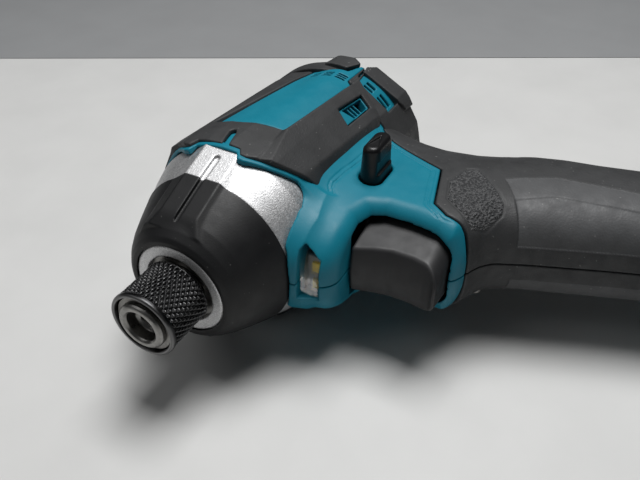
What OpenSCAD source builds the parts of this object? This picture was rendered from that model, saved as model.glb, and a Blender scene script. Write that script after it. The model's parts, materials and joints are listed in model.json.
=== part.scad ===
// Cordless impact driver lying on its right side, without its battery.
// X runs back along the drive axis from the front of the bit sleeve.
// Y points to the top of the tool, so the grip runs down towards -Y.
// Z points to the tool's left side, which faces up as it lies.

/* [Bit sleeve and anvil] */
// Radius of the knurled bit sleeve
sleeve_r = 9.9; // [9.4:0.1:10.6]
// Length of the bit sleeve
sleeve_len = 15.2; // [14.6:0.1:16.2]
// How far the sleeve is pulled forward to free a bit
sleeve_travel = 4; // [3:0.1:4.4]
// Radius of the anvil's round shank
anvil_r = 7; // [6.8:0.05:7.2]
// Width of the bit socket across its flats
bit_af = 6.45; // [6.4:0.01:6.5]
// Radius of the round mouth in front of the hexagon
bit_mouth_r = 3.9; // [3.8:0.05:4.2]
// Length of that round mouth
bit_mouth_len = 3.4; // [3:0.1:4]
// Depth of the whole bit socket
bit_depth = 26; // [25:0.5:27]
// Radius of a bit locking ball
ball_r = 1.75; // [1.7:0.01:1.8]

/* [Hammer case] */
// Radius of the bare front ring of the hammer case
case_nose_r = 13.9; // [13.6:0.1:14.4]
// How much smaller the hammer case is than the housing it enters
case_step = 0.6; // [0.5:0.1:1]
// Length of the hammer case that can be seen
case_len = 27.5; // [27:0.1:28.5]
// Length of the hammer case inside the housing
case_tail = 8.5; // [8:0.1:9]
// Length of the rubber nose bumper
bumper_len = 17.6; // [17:0.1:18.2]
// Thickness of the rubber nose bumper
bumper_t = 1.9; // [1.7:0.05:2.2]
// Width of the flat pad on each side of the bumper
pad_w = 13; // [11:0.5:14]

/* [Impact mechanism] */
// Outer radius of the hammer as a share of the hammer case's rear radius
hammer_share = 0.7042; // [0.69:0.0001:0.711]
// Length of the hammer behind its dogs
hammer_len = 16.4; // [16:0.1:17]
// Length of the anvil's two lugs
lug_len = 7; // [6.6:0.1:7.2]
// How far the hammer is driven back when it strikes
hammer_travel = 6; // [5:0.1:6.2]
// Radius of the spindle that the hammer rides on
spindle_r = 8; // [7.8:0.05:8.1]
// Radius of a cam ball between hammer and spindle
cam_ball_r = 2.4; // [2.3:0.05:2.45]

/* [Gears and motor] */
// Space from the ring gear's pitch circle out to the housing wall
gear_space = 5.925; // [5.6:0.005:6.2]
// Teeth on the motor's pinion
sun_n = 9; // [9:1:9]
// Teeth on each planet gear
planet_n = 27; // [27:1:27]
// Width of the gear teeth
gear_w = 7; // [6.6:0.1:7.2]
// Backlash taken from each tooth
backlash = 0.16; // [0.14:0.01:0.2]
// Air space between the stator and the housing wall
stator_gap = 3.9; // [3.6:0.1:4.4]
// Length of the stator core
stator_len = 18; // [17:0.1:18.4]
// Radius of the rotor core as a share of the stator's radius
rotor_share = 0.507; // [0.49:0.001:0.515]
// Radius of the motor shaft as a share of the pinion's pitch radius
shaft_share = 0.684; // [0.65:0.001:0.7]

/* [Housing] */
// Outer radius of the motor housing under its rubber
shell_r = 29; // [28.8:0.1:29.4]
// Wall thickness of the housing
wall = 2.6; // [2.3:0.1:2.7]
// Thickness of the rubber over the motor housing
rubber_t = 2.2; // [2:0.1:2.4]
// Thickness of the rubber over the grip
grip_t = 1.6; // [1.4:0.1:1.7]
// Length of the whole tool along the drive axis
tool_len = 126; // [125:0.5:128]
// Length of the rear cover
cap_len = 22; // [21.5:0.1:22.5]
// Half the width of the grip
grip_half_w = 17.2; // [17:0.1:17.6]
// Radius of the housing screws
screw_r = 1.5; // [1.4:0.05:1.6]

/* [Foot] */
// Distance from the drive axis to the foot's underside
foot_drop = 170; // [168:0.5:174]
// Height of the foot
foot_h = 21; // [20:0.5:22]
// Front end of the foot
foot_front_x = 70; // [68:0.5:72]
// Length of the foot
foot_len = 69.5; // [68:0.5:72]
// Radius of the threads for a belt hook
hook_r = 2; // [1.9:0.05:2.1]
// Length of those threads
hook_len = 6; // [5:0.1:6.1]

/* [Controls] */
// How far the trigger is pulled
trigger_travel = 6.5; // [5:0.1:6.8]
// Half the width of the trigger
trigger_half_w = 12.8; // [12.4:0.1:13]
// How far the reverse lever slides through the housing
lever_travel = 10; // [8:0.1:10.2]
// How far the reverse lever stands out on the left
lever_out = 10.6; // [10.4:0.1:11.2]

/* [Fits] */
// Clearance between pieces that move past each other
run_gap = 0.35; // [0.3:0.01:0.4]
// Clearance between pieces that sit in each other
seat_gap = 0.05; // [0.03:0.01:0.08]
// Clearance between the housing and the castings it holds
fit_gap = 0.25; // [0.2:0.01:0.3]
// Clearance round a screw's head
head_gap = 0.3; // [0.25:0.05:0.4]

/* [Hidden] */
$fn = 96;
far = 400;
// Places along the drive axis
mouth_lead = 0.8;
anvil_tip_x = -mouth_lead;
clip_x = 1;
clip_t = 1.1;
clip_depth = 0.6;
ball_x = sleeve_len - 4.7;
case_x = sleeve_len + 0.6;
rim_x = case_x + case_len + 0.2;
case_end_x = case_x + case_len + case_tail;
bumper_end_x = case_x + bumper_len;
bush_x = case_x + 1.7;
bush_len = 10;
shoulder_x = bush_x + bush_len + 0.4;
lug_x = shoulder_x + 5.1;
lug_end_x = lug_x + lug_len;
hammer_x = lug_end_x + 0.6;
hammer_end_x = hammer_x + hammer_len;
spring_x = hammer_x + 7;
cam_ball_x = hammer_x + 3.4;
flange_x = hammer_end_x + hammer_travel + 0.8;
flange_t = 2.4;
gear_x = flange_x + flange_t + 0.2;
gear_end_x = gear_x + gear_w;
carrier_end_x = gear_end_x + 0.4 + flange_t;
plate_x = carrier_end_x + run_gap;
plate_len = 9.6;
stator_x = plate_x + plate_len + 3.9;
stator_end_x = stator_x + stator_len;
fan_x = stator_end_x + 3;
fan_len = 4.6;
rear_bearing_x = fan_x + fan_len + 0.9;
cap_x = tool_len - cap_len;
// Radii along the drive axis
shell_in_r = shell_r - wall;
rubber_r = shell_r + rubber_t;
case_rear_r = shell_r - case_step;
hammer_r = hammer_share * case_rear_r;
bush_r = 11;
cam_orbit = spindle_r + 0.2;
lug_r = 0.825 * hammer_r;
dog_r = 0.9 * hammer_r;
spring_in_r = spindle_r + 1.9;
spring_out_r = 0.755 * hammer_r;
pilot_r = 3.3;
ring_n = sun_n + 2 * planet_n;
gear_m = 2 * (shell_in_r - gear_space) / ring_n;
sun_pitch_r = gear_m * sun_n / 2;
planet_pitch_r = gear_m * planet_n / 2;
ring_pitch_r = gear_m * ring_n / 2;
planet_orbit = sun_pitch_r + planet_pitch_r;
pressure_angle = 25;
tooth_add = 0.8 * gear_m;
tooth_ded = 1.1 * gear_m;
planet_pin_r = 0.2735 * planet_pitch_r;
shaft_r = shaft_share * sun_pitch_r;
ring_out_r = ring_pitch_r + 2.6;
carrier_r = planet_orbit + 4.8;
carrier_bore_r = sun_pitch_r + tooth_add + 0.75;
bearing_in_r = 6.2;
bearing_out_r = 10.5;
motor_bearing_r = 5;
bearing_w = 4;
stator_teeth = 6;
tooth_half_w = 2;
stator_r = shell_in_r - stator_gap;
rotor_r = rotor_share * stator_r;
core_room_r = max(ring_out_r + seat_gap, stator_r + 0.6);
rubber_start = 24;
rubber_end = 142;
panel_x = [57, 97];
panel_angles = [70, 107];
panel_rise = 1.4;
vent_x = [79, 95];
vent_angles = [119, 129];
slot_n = 5;
notch_angles = [85, 87.6];
notch_end_x = rim_x + 9.5;
// Radius of the case at a share of the way from its nose to its rear
function case_r(share) = case_nose_r + share * (case_rear_r - case_nose_r);

// The outside of the hammer case and of its bumper, as radius and place
case_outline = [
  [case_nose_r, case_x],
  [case_r(0.07), case_x + 1.2],
  [case_r(0.28), case_x + 5.5],
  [case_r(0.43), case_x + 10.2],
  [case_r(0.62), bumper_end_x - 0.2],
  [case_r(0.74), bumper_end_x],
  [case_r(0.89), case_x + 22.7],
  [case_rear_r, case_x + case_len]
];
bumper_outline = [
  [case_nose_r + 0.2, case_x - 0.2],
  [case_nose_r + bumper_t, case_x - 0.2],
  [case_nose_r + 2 * bumper_t, case_x + 1.4],
  [case_r(0.28) + bumper_t, case_x + 5.5],
  [case_r(0.43) + bumper_t, case_x + 10.2],
  [case_r(0.74), bumper_end_x - 1.6],
  [case_r(0.74) + 0.5, bumper_end_x - 0.1]
];
cap_outline = [
  [shell_r - 1.4, cap_x + 0.2],
  [shell_r - 1.8, cap_x + 8],
  [shell_r - 3.4, tool_len - 5],
  [shell_r - 5.6, tool_len - 1.6],
  [shell_r - 8.6, tool_len]
];
// The neck and grip: distance below the drive axis, front, rear and half width
grip_rows = [
  [-8, 36, 114, grip_half_w + 7.4],
  [-19, 31.5, 110, grip_half_w + 4],
  [-26, 32.6, 106.5, grip_half_w + 1.5],
  [-33, 33.8, 104, grip_half_w + 0.2],
  [-38, 36, 102.8, grip_half_w - 0.2],
  [-45, 36, 102.4, grip_half_w - 0.4],
  [-55, 37, 104.4, grip_half_w - 0.4],
  [-61.5, 42, 106.6, grip_half_w - 0.4],
  [-63.6, 47.5, 107.4, grip_half_w - 0.4],
  [-65.8, 51, 108, grip_half_w - 0.5],
  [-68, 61, 109.2, grip_half_w - 0.4],
  [-71.5, 65.6, 110.8, grip_half_w - 0.2],
  [-80, 69.4, 112.6, grip_half_w],
  [-90, 73.2, 113.8, grip_half_w],
  [-100, 77, 115.8, grip_half_w],
  [-112, 81.2, 118.2, grip_half_w - 0.2],
  [-126, 85.8, 122, grip_half_w - 0.6],
  [foot_h - foot_drop + 8, 89, 126.5, grip_half_w - 0.4],
  [foot_h - foot_drop - 2, 86, 132, grip_half_w + 6]
];
grip_sides = 20;
grip_power = 2 / 2.6;
// The painted part of the neck, seen from the side
neck_outline = [
  [20, 10], [97, 10], [97, -21], [88.7, -29.8], [80.3, -49], [63, -53.3],
  [59.5, -58.5], [59, -64], [56, -69], [20, -69]
];
// The window in the neck that the trigger comes out of
window_outline = [
  [20, -38.6], [50, -38.2], [54.4, -39.6], [56.2, -43], [56.4, -50], [55.6, -57.5],
  [53.4, -61.4], [49, -62.6], [20, -62.6]
];
trigger_outline = [
  [63, -40.2], [47, -39.6], [43.6, -40.4], [42.4, -43], [43.4, -48], [43.6, -54],
  [42.6, -58], [41, -60.4], [41.6, -61.6], [44, -61.9], [63, -61.2]
];
trigger_y = [-62.5, -39];
trigger_room_x = 48;
stem_r = 3;
stem_y = -50;
lever_x = 69;
lever_y = -33.2;
lever_len = 13;
lever_w = 6.4;
lever_seat = grip_half_w + 0.2;
switch_x = 70.6;
switch_len = 21;
switch_half_w = 9;
switch_y = [-60.8, -40];
chin_r = 16;
chin_x = 49.8;
lens_y = [-case_rear_r - 5.6, 1.2 - case_rear_r];
lens_half_w = 10;
lamp_x = [chin_x - 11.2, chin_x - 10];
chip_w = 3.2;
chip_t = 0.8;
chip_z = 3;
foot_end_x = foot_front_x + foot_len;
bay_end_x = foot_end_x - 12;
screw_places = [
  [57, shell_r - 2.8], [80, shell_r - 2.8], [52, -32], [92, -33.5], [69.4, -66.6],
  [100, -68], [96, -104], [foot_front_x + 5.5, 16.6 - foot_drop], [foot_end_x - 6.5, 16.6 - foot_drop]
];
boss_r = 4.6;
head_r = 3;
foot_half_w = rubber_r;
foot_top = foot_h - foot_drop;
bay_top = 9.2 - foot_drop;
bay_half_w = 25;
rail_w = 4;
rail_h = 3.2;
insert_r = 3.2;
block_x = bay_end_x - 31.5;
block_len = 22;
block_h = 4.5;
block_half_w = 14;
blade_out = 12;
blade_len = 30;
blade_h = 3.4;
blade_t = 0.8;
blade_z = 9;
hook_x = foot_end_x - 18.5;
hook_y = 4.6 - foot_drop;

// A body turned about the drive axis from radius and place pairs
module turned(outline) {
  rotate([0, 90, 0])
    rotate_extrude()
      polygon(outline);
}

// A part turn of such a body, in degrees from the top towards the left side
module turned_part(angles, outline) {
  rotate([0, 90, 0])
    rotate([0, 0, 90 + angles[0]])
      rotate_extrude(angle = angles[1] - angles[0])
        polygon(outline);
}

module ring(r_in, r_out, x0, x1) {
  turned([[r_in, x0], [r_out, x0], [r_out, x1], [r_in, x1]]);
}

module disc(r, x0, x1) {
  translate([x0, 0, 0])
    rotate([0, 90, 0])
      cylinder(r = r, h = x1 - x0);
}

// A round bar across the tool
module cross_bar(place, r, z0, z1) {
  translate([place[0], place[1], z0])
    cylinder(r = r, h = z1 - z0, $fn = 48);
}

// A side outline given thickness across the tool
module slab(outline, z0, z1) {
  translate([0, 0, z0])
    linear_extrude(z1 - z0)
      polygon(outline);
}

module box(low, high) {
  translate(low)
    cube(high - low);
}

module left_half() {
  intersection() {
    union()
      children();
    box([-far, -far, 0], [far, far, far]);
  }
}

// A solid with the outline closed on the drive axis
function filled(outline) = concat(
  [[0, outline[0][1]]],
  outline,
  [[0, outline[len(outline) - 1][1]]]
);

function grown(outline, by) = [for (p = outline) [p[0] + by, p[1]]];

// One ring of the neck and grip, a rounded oblong drawn in by an inset
function grip_ring(row, inset) =
  let (mid = (row[1] + row[2]) / 2, half = (row[2] - row[1]) / 2 - inset, w = row[3] - inset)
  [for (k = [0 : grip_sides - 1])
    let (c = cos(360 * k / grip_sides), s = sin(360 * k / grip_sides))
    [
      mid + half * sign(c) * pow(abs(c), grip_power),
      row[0],
      w * sign(s) * pow(abs(s), grip_power)
    ]];

module grip_form(inset) {
  rows = len(grip_rows);
  points = [for (row = grip_rows) each grip_ring(row, inset)];
  sides = [for (i = [0 : rows - 2], k = [0 : grip_sides - 1])
    let (a = i * grip_sides + k, b = i * grip_sides + (k + 1) % grip_sides)
    each [[a, b + grip_sides, b], [a, a + grip_sides, b + grip_sides]]];
  first = [for (k = [0 : grip_sides - 1]) k];
  last = [for (k = [grip_sides - 1 : -1 : 0]) (rows - 1) * grip_sides + k];
  polyhedron(points = points, faces = concat(sides, [first], [last]), convexity = 6);
}

// The rows where the whole head is kept clear of the neck's pieces
module head_room() {
  turned([[0, 20], [rubber_r, 20], [rubber_r, cap_x], [0, cap_x]]);
}

module cap_room() {
  first = [cap_outline[0][0], cap_x - 0.2];
  last = [cap_outline[len(cap_outline) - 1][0], tool_len + 1];
  turned(filled(grown(concat([first], cap_outline, [last]), fit_gap)));
}

module foot_block(half_w, inset) {
  intersection() {
    slab([
      [foot_front_x + inset, foot_top - 4],
      [foot_front_x + 6 + inset, foot_top - inset],
      [foot_end_x - 8 - inset, foot_top + 1 - inset],
      [foot_end_x - inset, foot_top - 5],
      [foot_end_x - inset, 4 - foot_drop],
      [foot_end_x - 4 - inset, -foot_drop],
      [foot_front_x + 2 + inset, -foot_drop],
      [foot_front_x + inset, 2 - foot_drop]
    ], -half_w, half_w);
    rotate([90, 0, 0])
      translate([0, 0, foot_drop - foot_h - 3])
        linear_extrude(foot_h + 6)
          foot_plan(half_w, inset);
  }
}

// The foot seen from below, with round corners
module foot_plan(half_w, inset) {
  r = 11;
  x0 = foot_front_x + inset;
  x1 = foot_end_x - inset;
  translate([x0 + r, -half_w])
    square([x1 - x0 - 2 * r, 2 * half_w]);
  translate([x0, r - half_w])
    square([x1 - x0, 2 * (half_w - r)]);
  for (x = [x0 + r, x1 - r], z = [-1, 1])
    translate([x, z * (half_w - r)])
      circle(r);
}

module lever_form(grow, z0, z1) {
  half = (lever_len - lever_w) / 2;
  for (s = [-1, 1])
    cross_bar([lever_x + s * half, lever_y], lever_w / 2 + grow, z0, z1);
  half_w = lever_w / 2 + grow;
  box([lever_x - half, lever_y - half_w, z0], [lever_x + half, lever_y + half_w, z1]);
}

module bay_space() {
  box(
    [foot_front_x - 5, -foot_drop - 5, -bay_half_w],
    [bay_end_x, bay_top, bay_half_w]
  );
}

module bay_rails() {
  for (s = [-1, 1])
    translate([foot_front_x + 3, -foot_drop, s * (bay_half_w - rail_w / 2 + 0.5) - rail_w / 2 - 0.5])
      cube([foot_len - 14, rail_h, rail_w + 1]);
}

// One half of the moulded housing, made for the left side
module housing_half(screw_heads) {
  left_half()
    difference() {
      union() {
        difference() {
          union() {
            ring(shell_in_r - 3, shell_r, rim_x, cap_x);
            turned_part(panel_angles, [
              [shell_r - 1, panel_x[0]], [shell_r + panel_rise, panel_x[0]],
              [shell_r + panel_rise, panel_x[1]], [shell_r - 1, panel_x[1]]
            ]);
            grip_form(grip_t);
            intersection() {
              grip_form(0);
              slab(neck_outline, -far, far);
            }
            foot_block(foot_half_w, 0);
          }
          grip_form(grip_t + wall);
          foot_hollow();
          disc(shell_in_r, rim_x - 10, cap_x + 5);
        }
        for (p = screw_places)
          boss(p);
        bay_rails();
      }
      disc(core_room_r, case_end_x, cap_x + 5);
      turned(filled(grown(concat([[case_nose_r, case_x - 5]], case_outline), fit_gap)));
      turned(filled(grown(bumper_outline, fit_gap)));
      disc(case_rear_r - 2, rim_x - 1, case_end_x + 1);
      cap_room();
      slab(window_outline, -1, far);
      trigger_room();
      lever_form(run_gap, -1, far);
      lamp_room();
      cross_bar([hook_x, hook_y], insert_r + seat_gap, foot_half_w - hook_len - 0.4, far);
      for (p = screw_places)
        screw_hole(p, screw_heads);
      for (k = [0 : slot_n - 1])
        vent_slot(k);
    }
}

// The pocket behind the window, where the trigger slides in
module trigger_room() {
  box([trigger_room_x, trigger_y[0], -1], [switch_x, trigger_y[1], trigger_half_w + run_gap]);
}

// The recess in the chin for the lamp
module lamp_room() {
  box(
    [chin_x - chin_r - 3.8, lens_y[0] - 0.2, -1],
    [chin_x - 7.4, lens_y[1] + 0.2, lens_half_w + 0.2]
  );
}

module foot_hollow() {
  box(
    [foot_front_x + 3, bay_top + 1.6, -far],
    [foot_end_x - 3, foot_top - 2.2, foot_half_w - wall]
  );
  bay_space();
}

// A screw boss standing on the seam, kept inside the housing
module boss(place) {
  intersection() {
    cross_bar(place, boss_r, 0, far);
    union() {
      disc(shell_r - 0.5, rim_x, cap_x);
      grip_form(grip_t + 0.5);
      foot_block(foot_half_w - 0.5, 0.5);
    }
  }
}

// The height at which a screw's head sits, above the seam
function seat_height(place) = place[1] > 0 ? 7 : place[1] < foot_top ? foot_half_w - 9 : grip_half_w - 6;

module screw_hole(place, heads) {
  cross_bar(place, screw_r + 0.02, -1, seat_height(place) + 0.5);
  if (heads)
    cross_bar(place, head_r + head_gap, seat_height(place), far);
}

module vent_slot(k) {
  step = (vent_x[1] - vent_x[0]) / slot_n;
  x = vent_x[0] + step * (k + 0.2);
  x_end = x + step * 0.6;
  turned_part(vent_angles, [
    [shell_in_r - 1, x], [shell_r + 4, x], [shell_r + 4, x_end], [shell_in_r - 1, x_end]
  ]);
}

// Rubber over one side of the motor housing, made for the left side
module motor_rubber_half(screw_heads) {
  difference() {
    turned_part([rubber_start, rubber_end], [
      [shell_r + seat_gap, rim_x + 0.3], [rubber_r - 1, rim_x + 0.3], [rubber_r, rim_x + 2.2],
      [rubber_r, cap_x - 16], [rubber_r - 1, cap_x - 0.8], [shell_r + seat_gap, cap_x - 0.8]
    ]);
    turned_part(panel_angles + [-0.5, 0.5], [
      [shell_r - 1, panel_x[0] - 0.3], [rubber_r + 1, panel_x[0] - 0.3],
      [rubber_r + 1, panel_x[1] + 0.3], [shell_r - 1, panel_x[1] + 0.3]
    ]);
    turned_part(vent_angles + [-1, 1], [
      [shell_r - 1, vent_x[0] - 0.5], [rubber_r + 1, vent_x[0] - 0.5],
      [rubber_r + 1, vent_x[1] + 0.5], [shell_r - 1, vent_x[1] + 0.5]
    ]);
    turned_part(notch_angles, [
      [shell_r - 1, rim_x - 1], [rubber_r + 1, rim_x - 1],
      [rubber_r + 1, notch_end_x], [shell_r - 1, notch_end_x]
    ]);
    grip_form(-seat_gap);
    if (screw_heads)
      for (p = screw_places)
        cross_bar(p, head_r + head_gap, 0, far);
  }
}

// Rubber over one side of the grip, made for the left side
module grip_rubber_half(screw_heads) {
  left_half()
    difference() {
      grip_form(0);
      grip_form(grip_t - seat_gap);
      slab(neck_outline, -far, far);
      head_room();
      cap_room();
      foot_block(foot_half_w + 0.2, -0.1);
      if (screw_heads)
        for (p = screw_places)
          cross_bar(p, head_r + head_gap, 0, far);
    }
}

module housing_left() {
  color("teal")
    housing_half(false);
}

module housing_right() {
  color("teal")
    mirror([0, 0, 1])
      housing_half(true);
}

module motor_rubber_left() {
  color([0.16, 0.16, 0.17])
    motor_rubber_half(false);
}

module motor_rubber_right() {
  color([0.16, 0.16, 0.17])
    mirror([0, 0, 1])
      motor_rubber_half(true);
}

module grip_rubber_left() {
  color([0.17, 0.17, 0.18])
    grip_rubber_half(false);
}

module grip_rubber_right() {
  color([0.17, 0.17, 0.18])
    mirror([0, 0, 1])
      grip_rubber_half(true);
}

module rear_cover() {
  hollow = [for (p = cap_outline)
    [p[0] - wall, p[1] < cap_x + 1 ? cap_x - 1 : min(p[1], tool_len - wall)]];
  color([0.17, 0.17, 0.18])
    difference() {
      turned(filled(cap_outline));
      turned(filled(hollow));
      for (side = [0, 180], k = [0 : 2])
        turned_part([115 + side + 9 * k, 120 + side + 9 * k], [
          [12, cap_x + 3], [shell_r + 2, cap_x + 3], [shell_r + 2, cap_x + 9], [12, cap_x + 9]
        ]);
    }
  color([0.17, 0.17, 0.18])
    ring(motor_bearing_r + seat_gap, motor_bearing_r + 2.2, rear_bearing_x, tool_len - 1);
}

module hammer_case() {
  inside = [
    [case_rear_r - 4, case_end_x], [hammer_r + 0.7, case_end_x - 3], [hammer_r + 0.7, hammer_x - 1],
    [dog_r + 0.6, lug_x - 1], [dog_r - 1, shoulder_x + 1], [bush_r + seat_gap, shoulder_x],
    [bush_r + seat_gap, bush_x], [sleeve_r + 0.7, bush_x], [sleeve_r + 0.7, case_x]
  ];
  color([0.75, 0.76, 0.77])
    turned(concat(
      case_outline,
      [[case_rear_r - 2.2, case_x + case_len], [case_rear_r - 2.2, case_end_x]],
      inside
    ));
}

module nose_bumper() {
  color([0.13, 0.13, 0.14])
    difference() {
      union() {
        turned(filled(bumper_outline));
        for (s = [0, 180])
          rotate([s, 0, 0])
            side_pads();
      }
      turned(filled(grown(concat([[case_nose_r, case_x - 3]], case_outline), 0.02)));
    }
}

// The two flat pads on one side of the bumper, with the groove between them
module side_pads() {
  groove_w = 2;
  for (s = [-1, 1])
    translate([0, s * (pad_w + groove_w) / 4, 0])
      rotate([90, 0, 0])
        translate([0, 0, -(pad_w - groove_w) / 4])
          linear_extrude((pad_w - groove_w) / 2)
            polygon([
              [case_x + 3, 15], [case_x + 4.2, 20.2], [bumper_end_x + 3, 27.2],
              [bumper_end_x + 3.2, 22], [bumper_end_x - 8, 15]
            ]);
}

module anvil_bush() {
  color([0.72, 0.55, 0.3])
    ring(anvil_r + run_gap, bush_r, bush_x, bush_x + bush_len);
}

module anvil() {
  color([0.5, 0.49, 0.46])
    difference() {
      union() {
        disc(anvil_r, anvil_tip_x, shoulder_x + 0.5);
        disc(anvil_r + 2.4, shoulder_x, lug_end_x);
        intersection() {
          disc(lug_r, lug_x, lug_end_x);
          box([lug_x, -lug_r, -5], [lug_end_x, lug_r, 5]);
        }
      }
      turned([[0, anvil_tip_x], [bit_mouth_r + 1.3, anvil_tip_x], [bit_mouth_r, 0], [0, 0]]);
      disc(bit_mouth_r, anvil_tip_x - 1, bit_mouth_len);
      translate([anvil_tip_x, 0, 0])
        rotate([0, 90, 0])
          cylinder(r = bit_af / sqrt(3), h = bit_depth, $fn = 6);
      disc(pilot_r + run_gap, lug_end_x - 6.4, lug_end_x + 1);
      for (s = [0, 180])
        rotate([s, 0, 0])
          translate([ball_x, 0, 2.9])
            cylinder(r = ball_r + 0.1, h = anvil_r, $fn = 48);
      ring(anvil_r - clip_depth, anvil_r + 1, clip_x, clip_x + clip_t);
    }
}

module bit_balls() {
  color([0.8, 0.8, 0.8])
    for (s = [-1, 1])
      translate([ball_x, 0, s * (anvil_r - 2.2)])
        sphere(ball_r);
}

module sleeve_ring() {
  color([0.35, 0.35, 0.36])
    ring(
      anvil_r - clip_depth + seat_gap, sleeve_r - 1.6,
      clip_x + seat_gap, clip_x + clip_t - seat_gap
    );
}

module sleeve_spring() {
  color([0.7, 0.7, 0.7])
    ring(anvil_r + run_gap, sleeve_r - 1.6, clip_x + clip_t, sleeve_len - 6.4);
}

module bit_sleeve() {
  land_x = sleeve_len - 6.3;
  color([0.1, 0.1, 0.1])
    turned([
      [sleeve_r - 1.2, 0], [sleeve_r - 0.4, 0], [sleeve_r, 0.4], [sleeve_r, sleeve_len - 0.6],
      [sleeve_r - 0.6, sleeve_len], [anvil_r + 1.4, sleeve_len],
      [anvil_r + 1.4, land_x + sleeve_travel - 0.6], [anvil_r + run_gap, land_x + sleeve_travel - 0.9],
      [anvil_r + run_gap, land_x], [sleeve_r - 1.2, land_x]
    ]);
}

module hammer() {
  groove_r = cam_ball_r + 0.3;
  color([0.42, 0.42, 0.43])
    difference() {
      union() {
        disc(hammer_r, hammer_x, hammer_end_x);
        intersection() {
          ring(cam_orbit + cam_ball_r + 0.6, dog_r, lug_x + 0.6, hammer_x + 1);
          box([lug_x, -5, -far], [hammer_x + 1, 5, far]);
        }
      }
      disc(spindle_r + run_gap, lug_x, hammer_end_x + 1);
      ring(spring_in_r - run_gap, spring_out_r + run_gap, spring_x, hammer_end_x + 1);
      for (s = [0, 180])
        rotate([s, 0, 0])
          translate([hammer_x - 1, 0, cam_orbit]) {
            rotate([0, 90, 0])
              cylinder(r = groove_r, h = 4.4, $fn = 48);
            translate([4.4, 0, 0])
              sphere(groove_r);
          }
    }
}

module hammer_spring() {
  color([0.6, 0.6, 0.62])
    ring(spring_in_r, spring_out_r, spring_x + seat_gap, flange_x - seat_gap);
}

module cam_balls() {
  color([0.8, 0.8, 0.8])
    for (s = [-1, 1])
      translate([cam_ball_x, 0, s * cam_orbit])
        sphere(cam_ball_r);
}

module spindle() {
  color([0.55, 0.55, 0.56])
    difference() {
      union() {
        disc(pilot_r, lug_end_x - 5.8, hammer_x);
        disc(spindle_r, lug_end_x + 0.45, flange_x + 0.5);
        disc(carrier_r, flange_x, carrier_end_x);
        disc(bearing_in_r - run_gap, carrier_end_x - 0.5, carrier_end_x + 4);
      }
      disc(carrier_bore_r, gear_x - 1, carrier_end_x + 5);
      for (k = [0 : 2])
        planet_place(k) {
          disc(planet_pin_r + seat_gap, flange_x - 1, carrier_end_x + 1);
          disc(planet_pitch_r + tooth_add + run_gap, flange_x + flange_t, gear_end_x + 0.4);
        }
      for (s = [-1, 1])
        translate([cam_ball_x, 0, s * cam_orbit])
          rotate([90, 0, 0])
            sphere(cam_ball_r + seat_gap);
    }
}

module planet_place(k) {
  rotate([120 * k, 0, 0])
    translate([0, 0, -planet_orbit])
      children();
}

module planet_pins() {
  color([0.7, 0.7, 0.7])
    for (k = [0 : 2])
      planet_place(k)
        disc(planet_pin_r, flange_x + 0.1, carrier_end_x - 0.1);
}

function involute(angle) = tan(angle) * 180 / PI - angle;

// Half the angle that a tooth takes up at one radius
function tooth_half(n, thin, r) =
  let (pitch_r = gear_m * n / 2, base_r = pitch_r * cos(pressure_angle))
  90 / n - thin / pitch_r * 90 / PI + involute(pressure_angle)
    - (r > base_r ? involute(acos(base_r / r)) : 0);

// The outline of a gear with involute flanks, a tooth pointing along the first axis
function gear_outline(n, root_r, tip_r, thin) =
  let (steps = 4, flank = [for (i = [0 : steps]) root_r + (tip_r - root_r) * i / steps])
  [for (k = [0 : n - 1], side = [-1, 1], i = [0 : steps])
    let (r = flank[side < 0 ? i : steps - i], a = 360 * k / n + side * tooth_half(n, thin, r))
    [r * cos(a), r * sin(a)]];

module gear(n, root_r, tip_r, thin, x0, x1) {
  translate([x0, 0, 0])
    rotate([0, 90, 0])
      linear_extrude(x1 - x0)
        polygon(gear_outline(n, root_r, tip_r, thin));
}

module planet(k) {
  turn = 180 - 180 / planet_n + 120 * k * sun_n / planet_n;
  color([0.6, 0.6, 0.61])
    planet_place(k)
      difference() {
        rotate([turn, 0, 0])
          gear(
            planet_n, planet_pitch_r - tooth_ded, planet_pitch_r + tooth_add, backlash,
            gear_x + 0.1, gear_end_x
          );
        disc(planet_pin_r + run_gap, gear_x - 1, gear_end_x + 1);
      }
}

module planet_1() {
  planet(0);
}

module planet_2() {
  planet(1);
}

module planet_3() {
  planet(2);
}

module ring_gear() {
  color([0.45, 0.45, 0.46])
    difference() {
      disc(ring_out_r, gear_x, gear_end_x + 0.2);
      rotate([180 * (planet_n + 1) / ring_n, 0, 0])
        gear(
          ring_n, ring_pitch_r - tooth_add, ring_pitch_r + tooth_ded, -backlash,
          gear_x - 1, gear_end_x + 1
        );
    }
}

module gear_plate() {
  color([0.3, 0.3, 0.31])
    difference() {
      union() {
        disc(ring_out_r, gear_end_x + 0.3, plate_x + bearing_w + 0.2);
        disc(motor_bearing_r + 3, plate_x + bearing_w, plate_x + plate_len);
      }
      disc(carrier_r + run_gap, gear_end_x, plate_x);
      disc(bearing_out_r + seat_gap, plate_x - 1, plate_x + bearing_w + seat_gap);
      disc(motor_bearing_r + seat_gap, plate_x + bearing_w, plate_x + plate_len + 1);
    }
}

module carrier_bearing() {
  color([0.75, 0.75, 0.76])
    ring(bearing_in_r, bearing_out_r, plate_x, plate_x + bearing_w);
}

module motor_front_bearing() {
  color([0.75, 0.75, 0.76])
    ring(shaft_r + run_gap, motor_bearing_r, plate_x + 5, plate_x + 5 + bearing_w);
}

module motor_rear_bearing() {
  color([0.75, 0.75, 0.76])
    ring(shaft_r + run_gap, motor_bearing_r, rear_bearing_x, rear_bearing_x + bearing_w);
}

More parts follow.
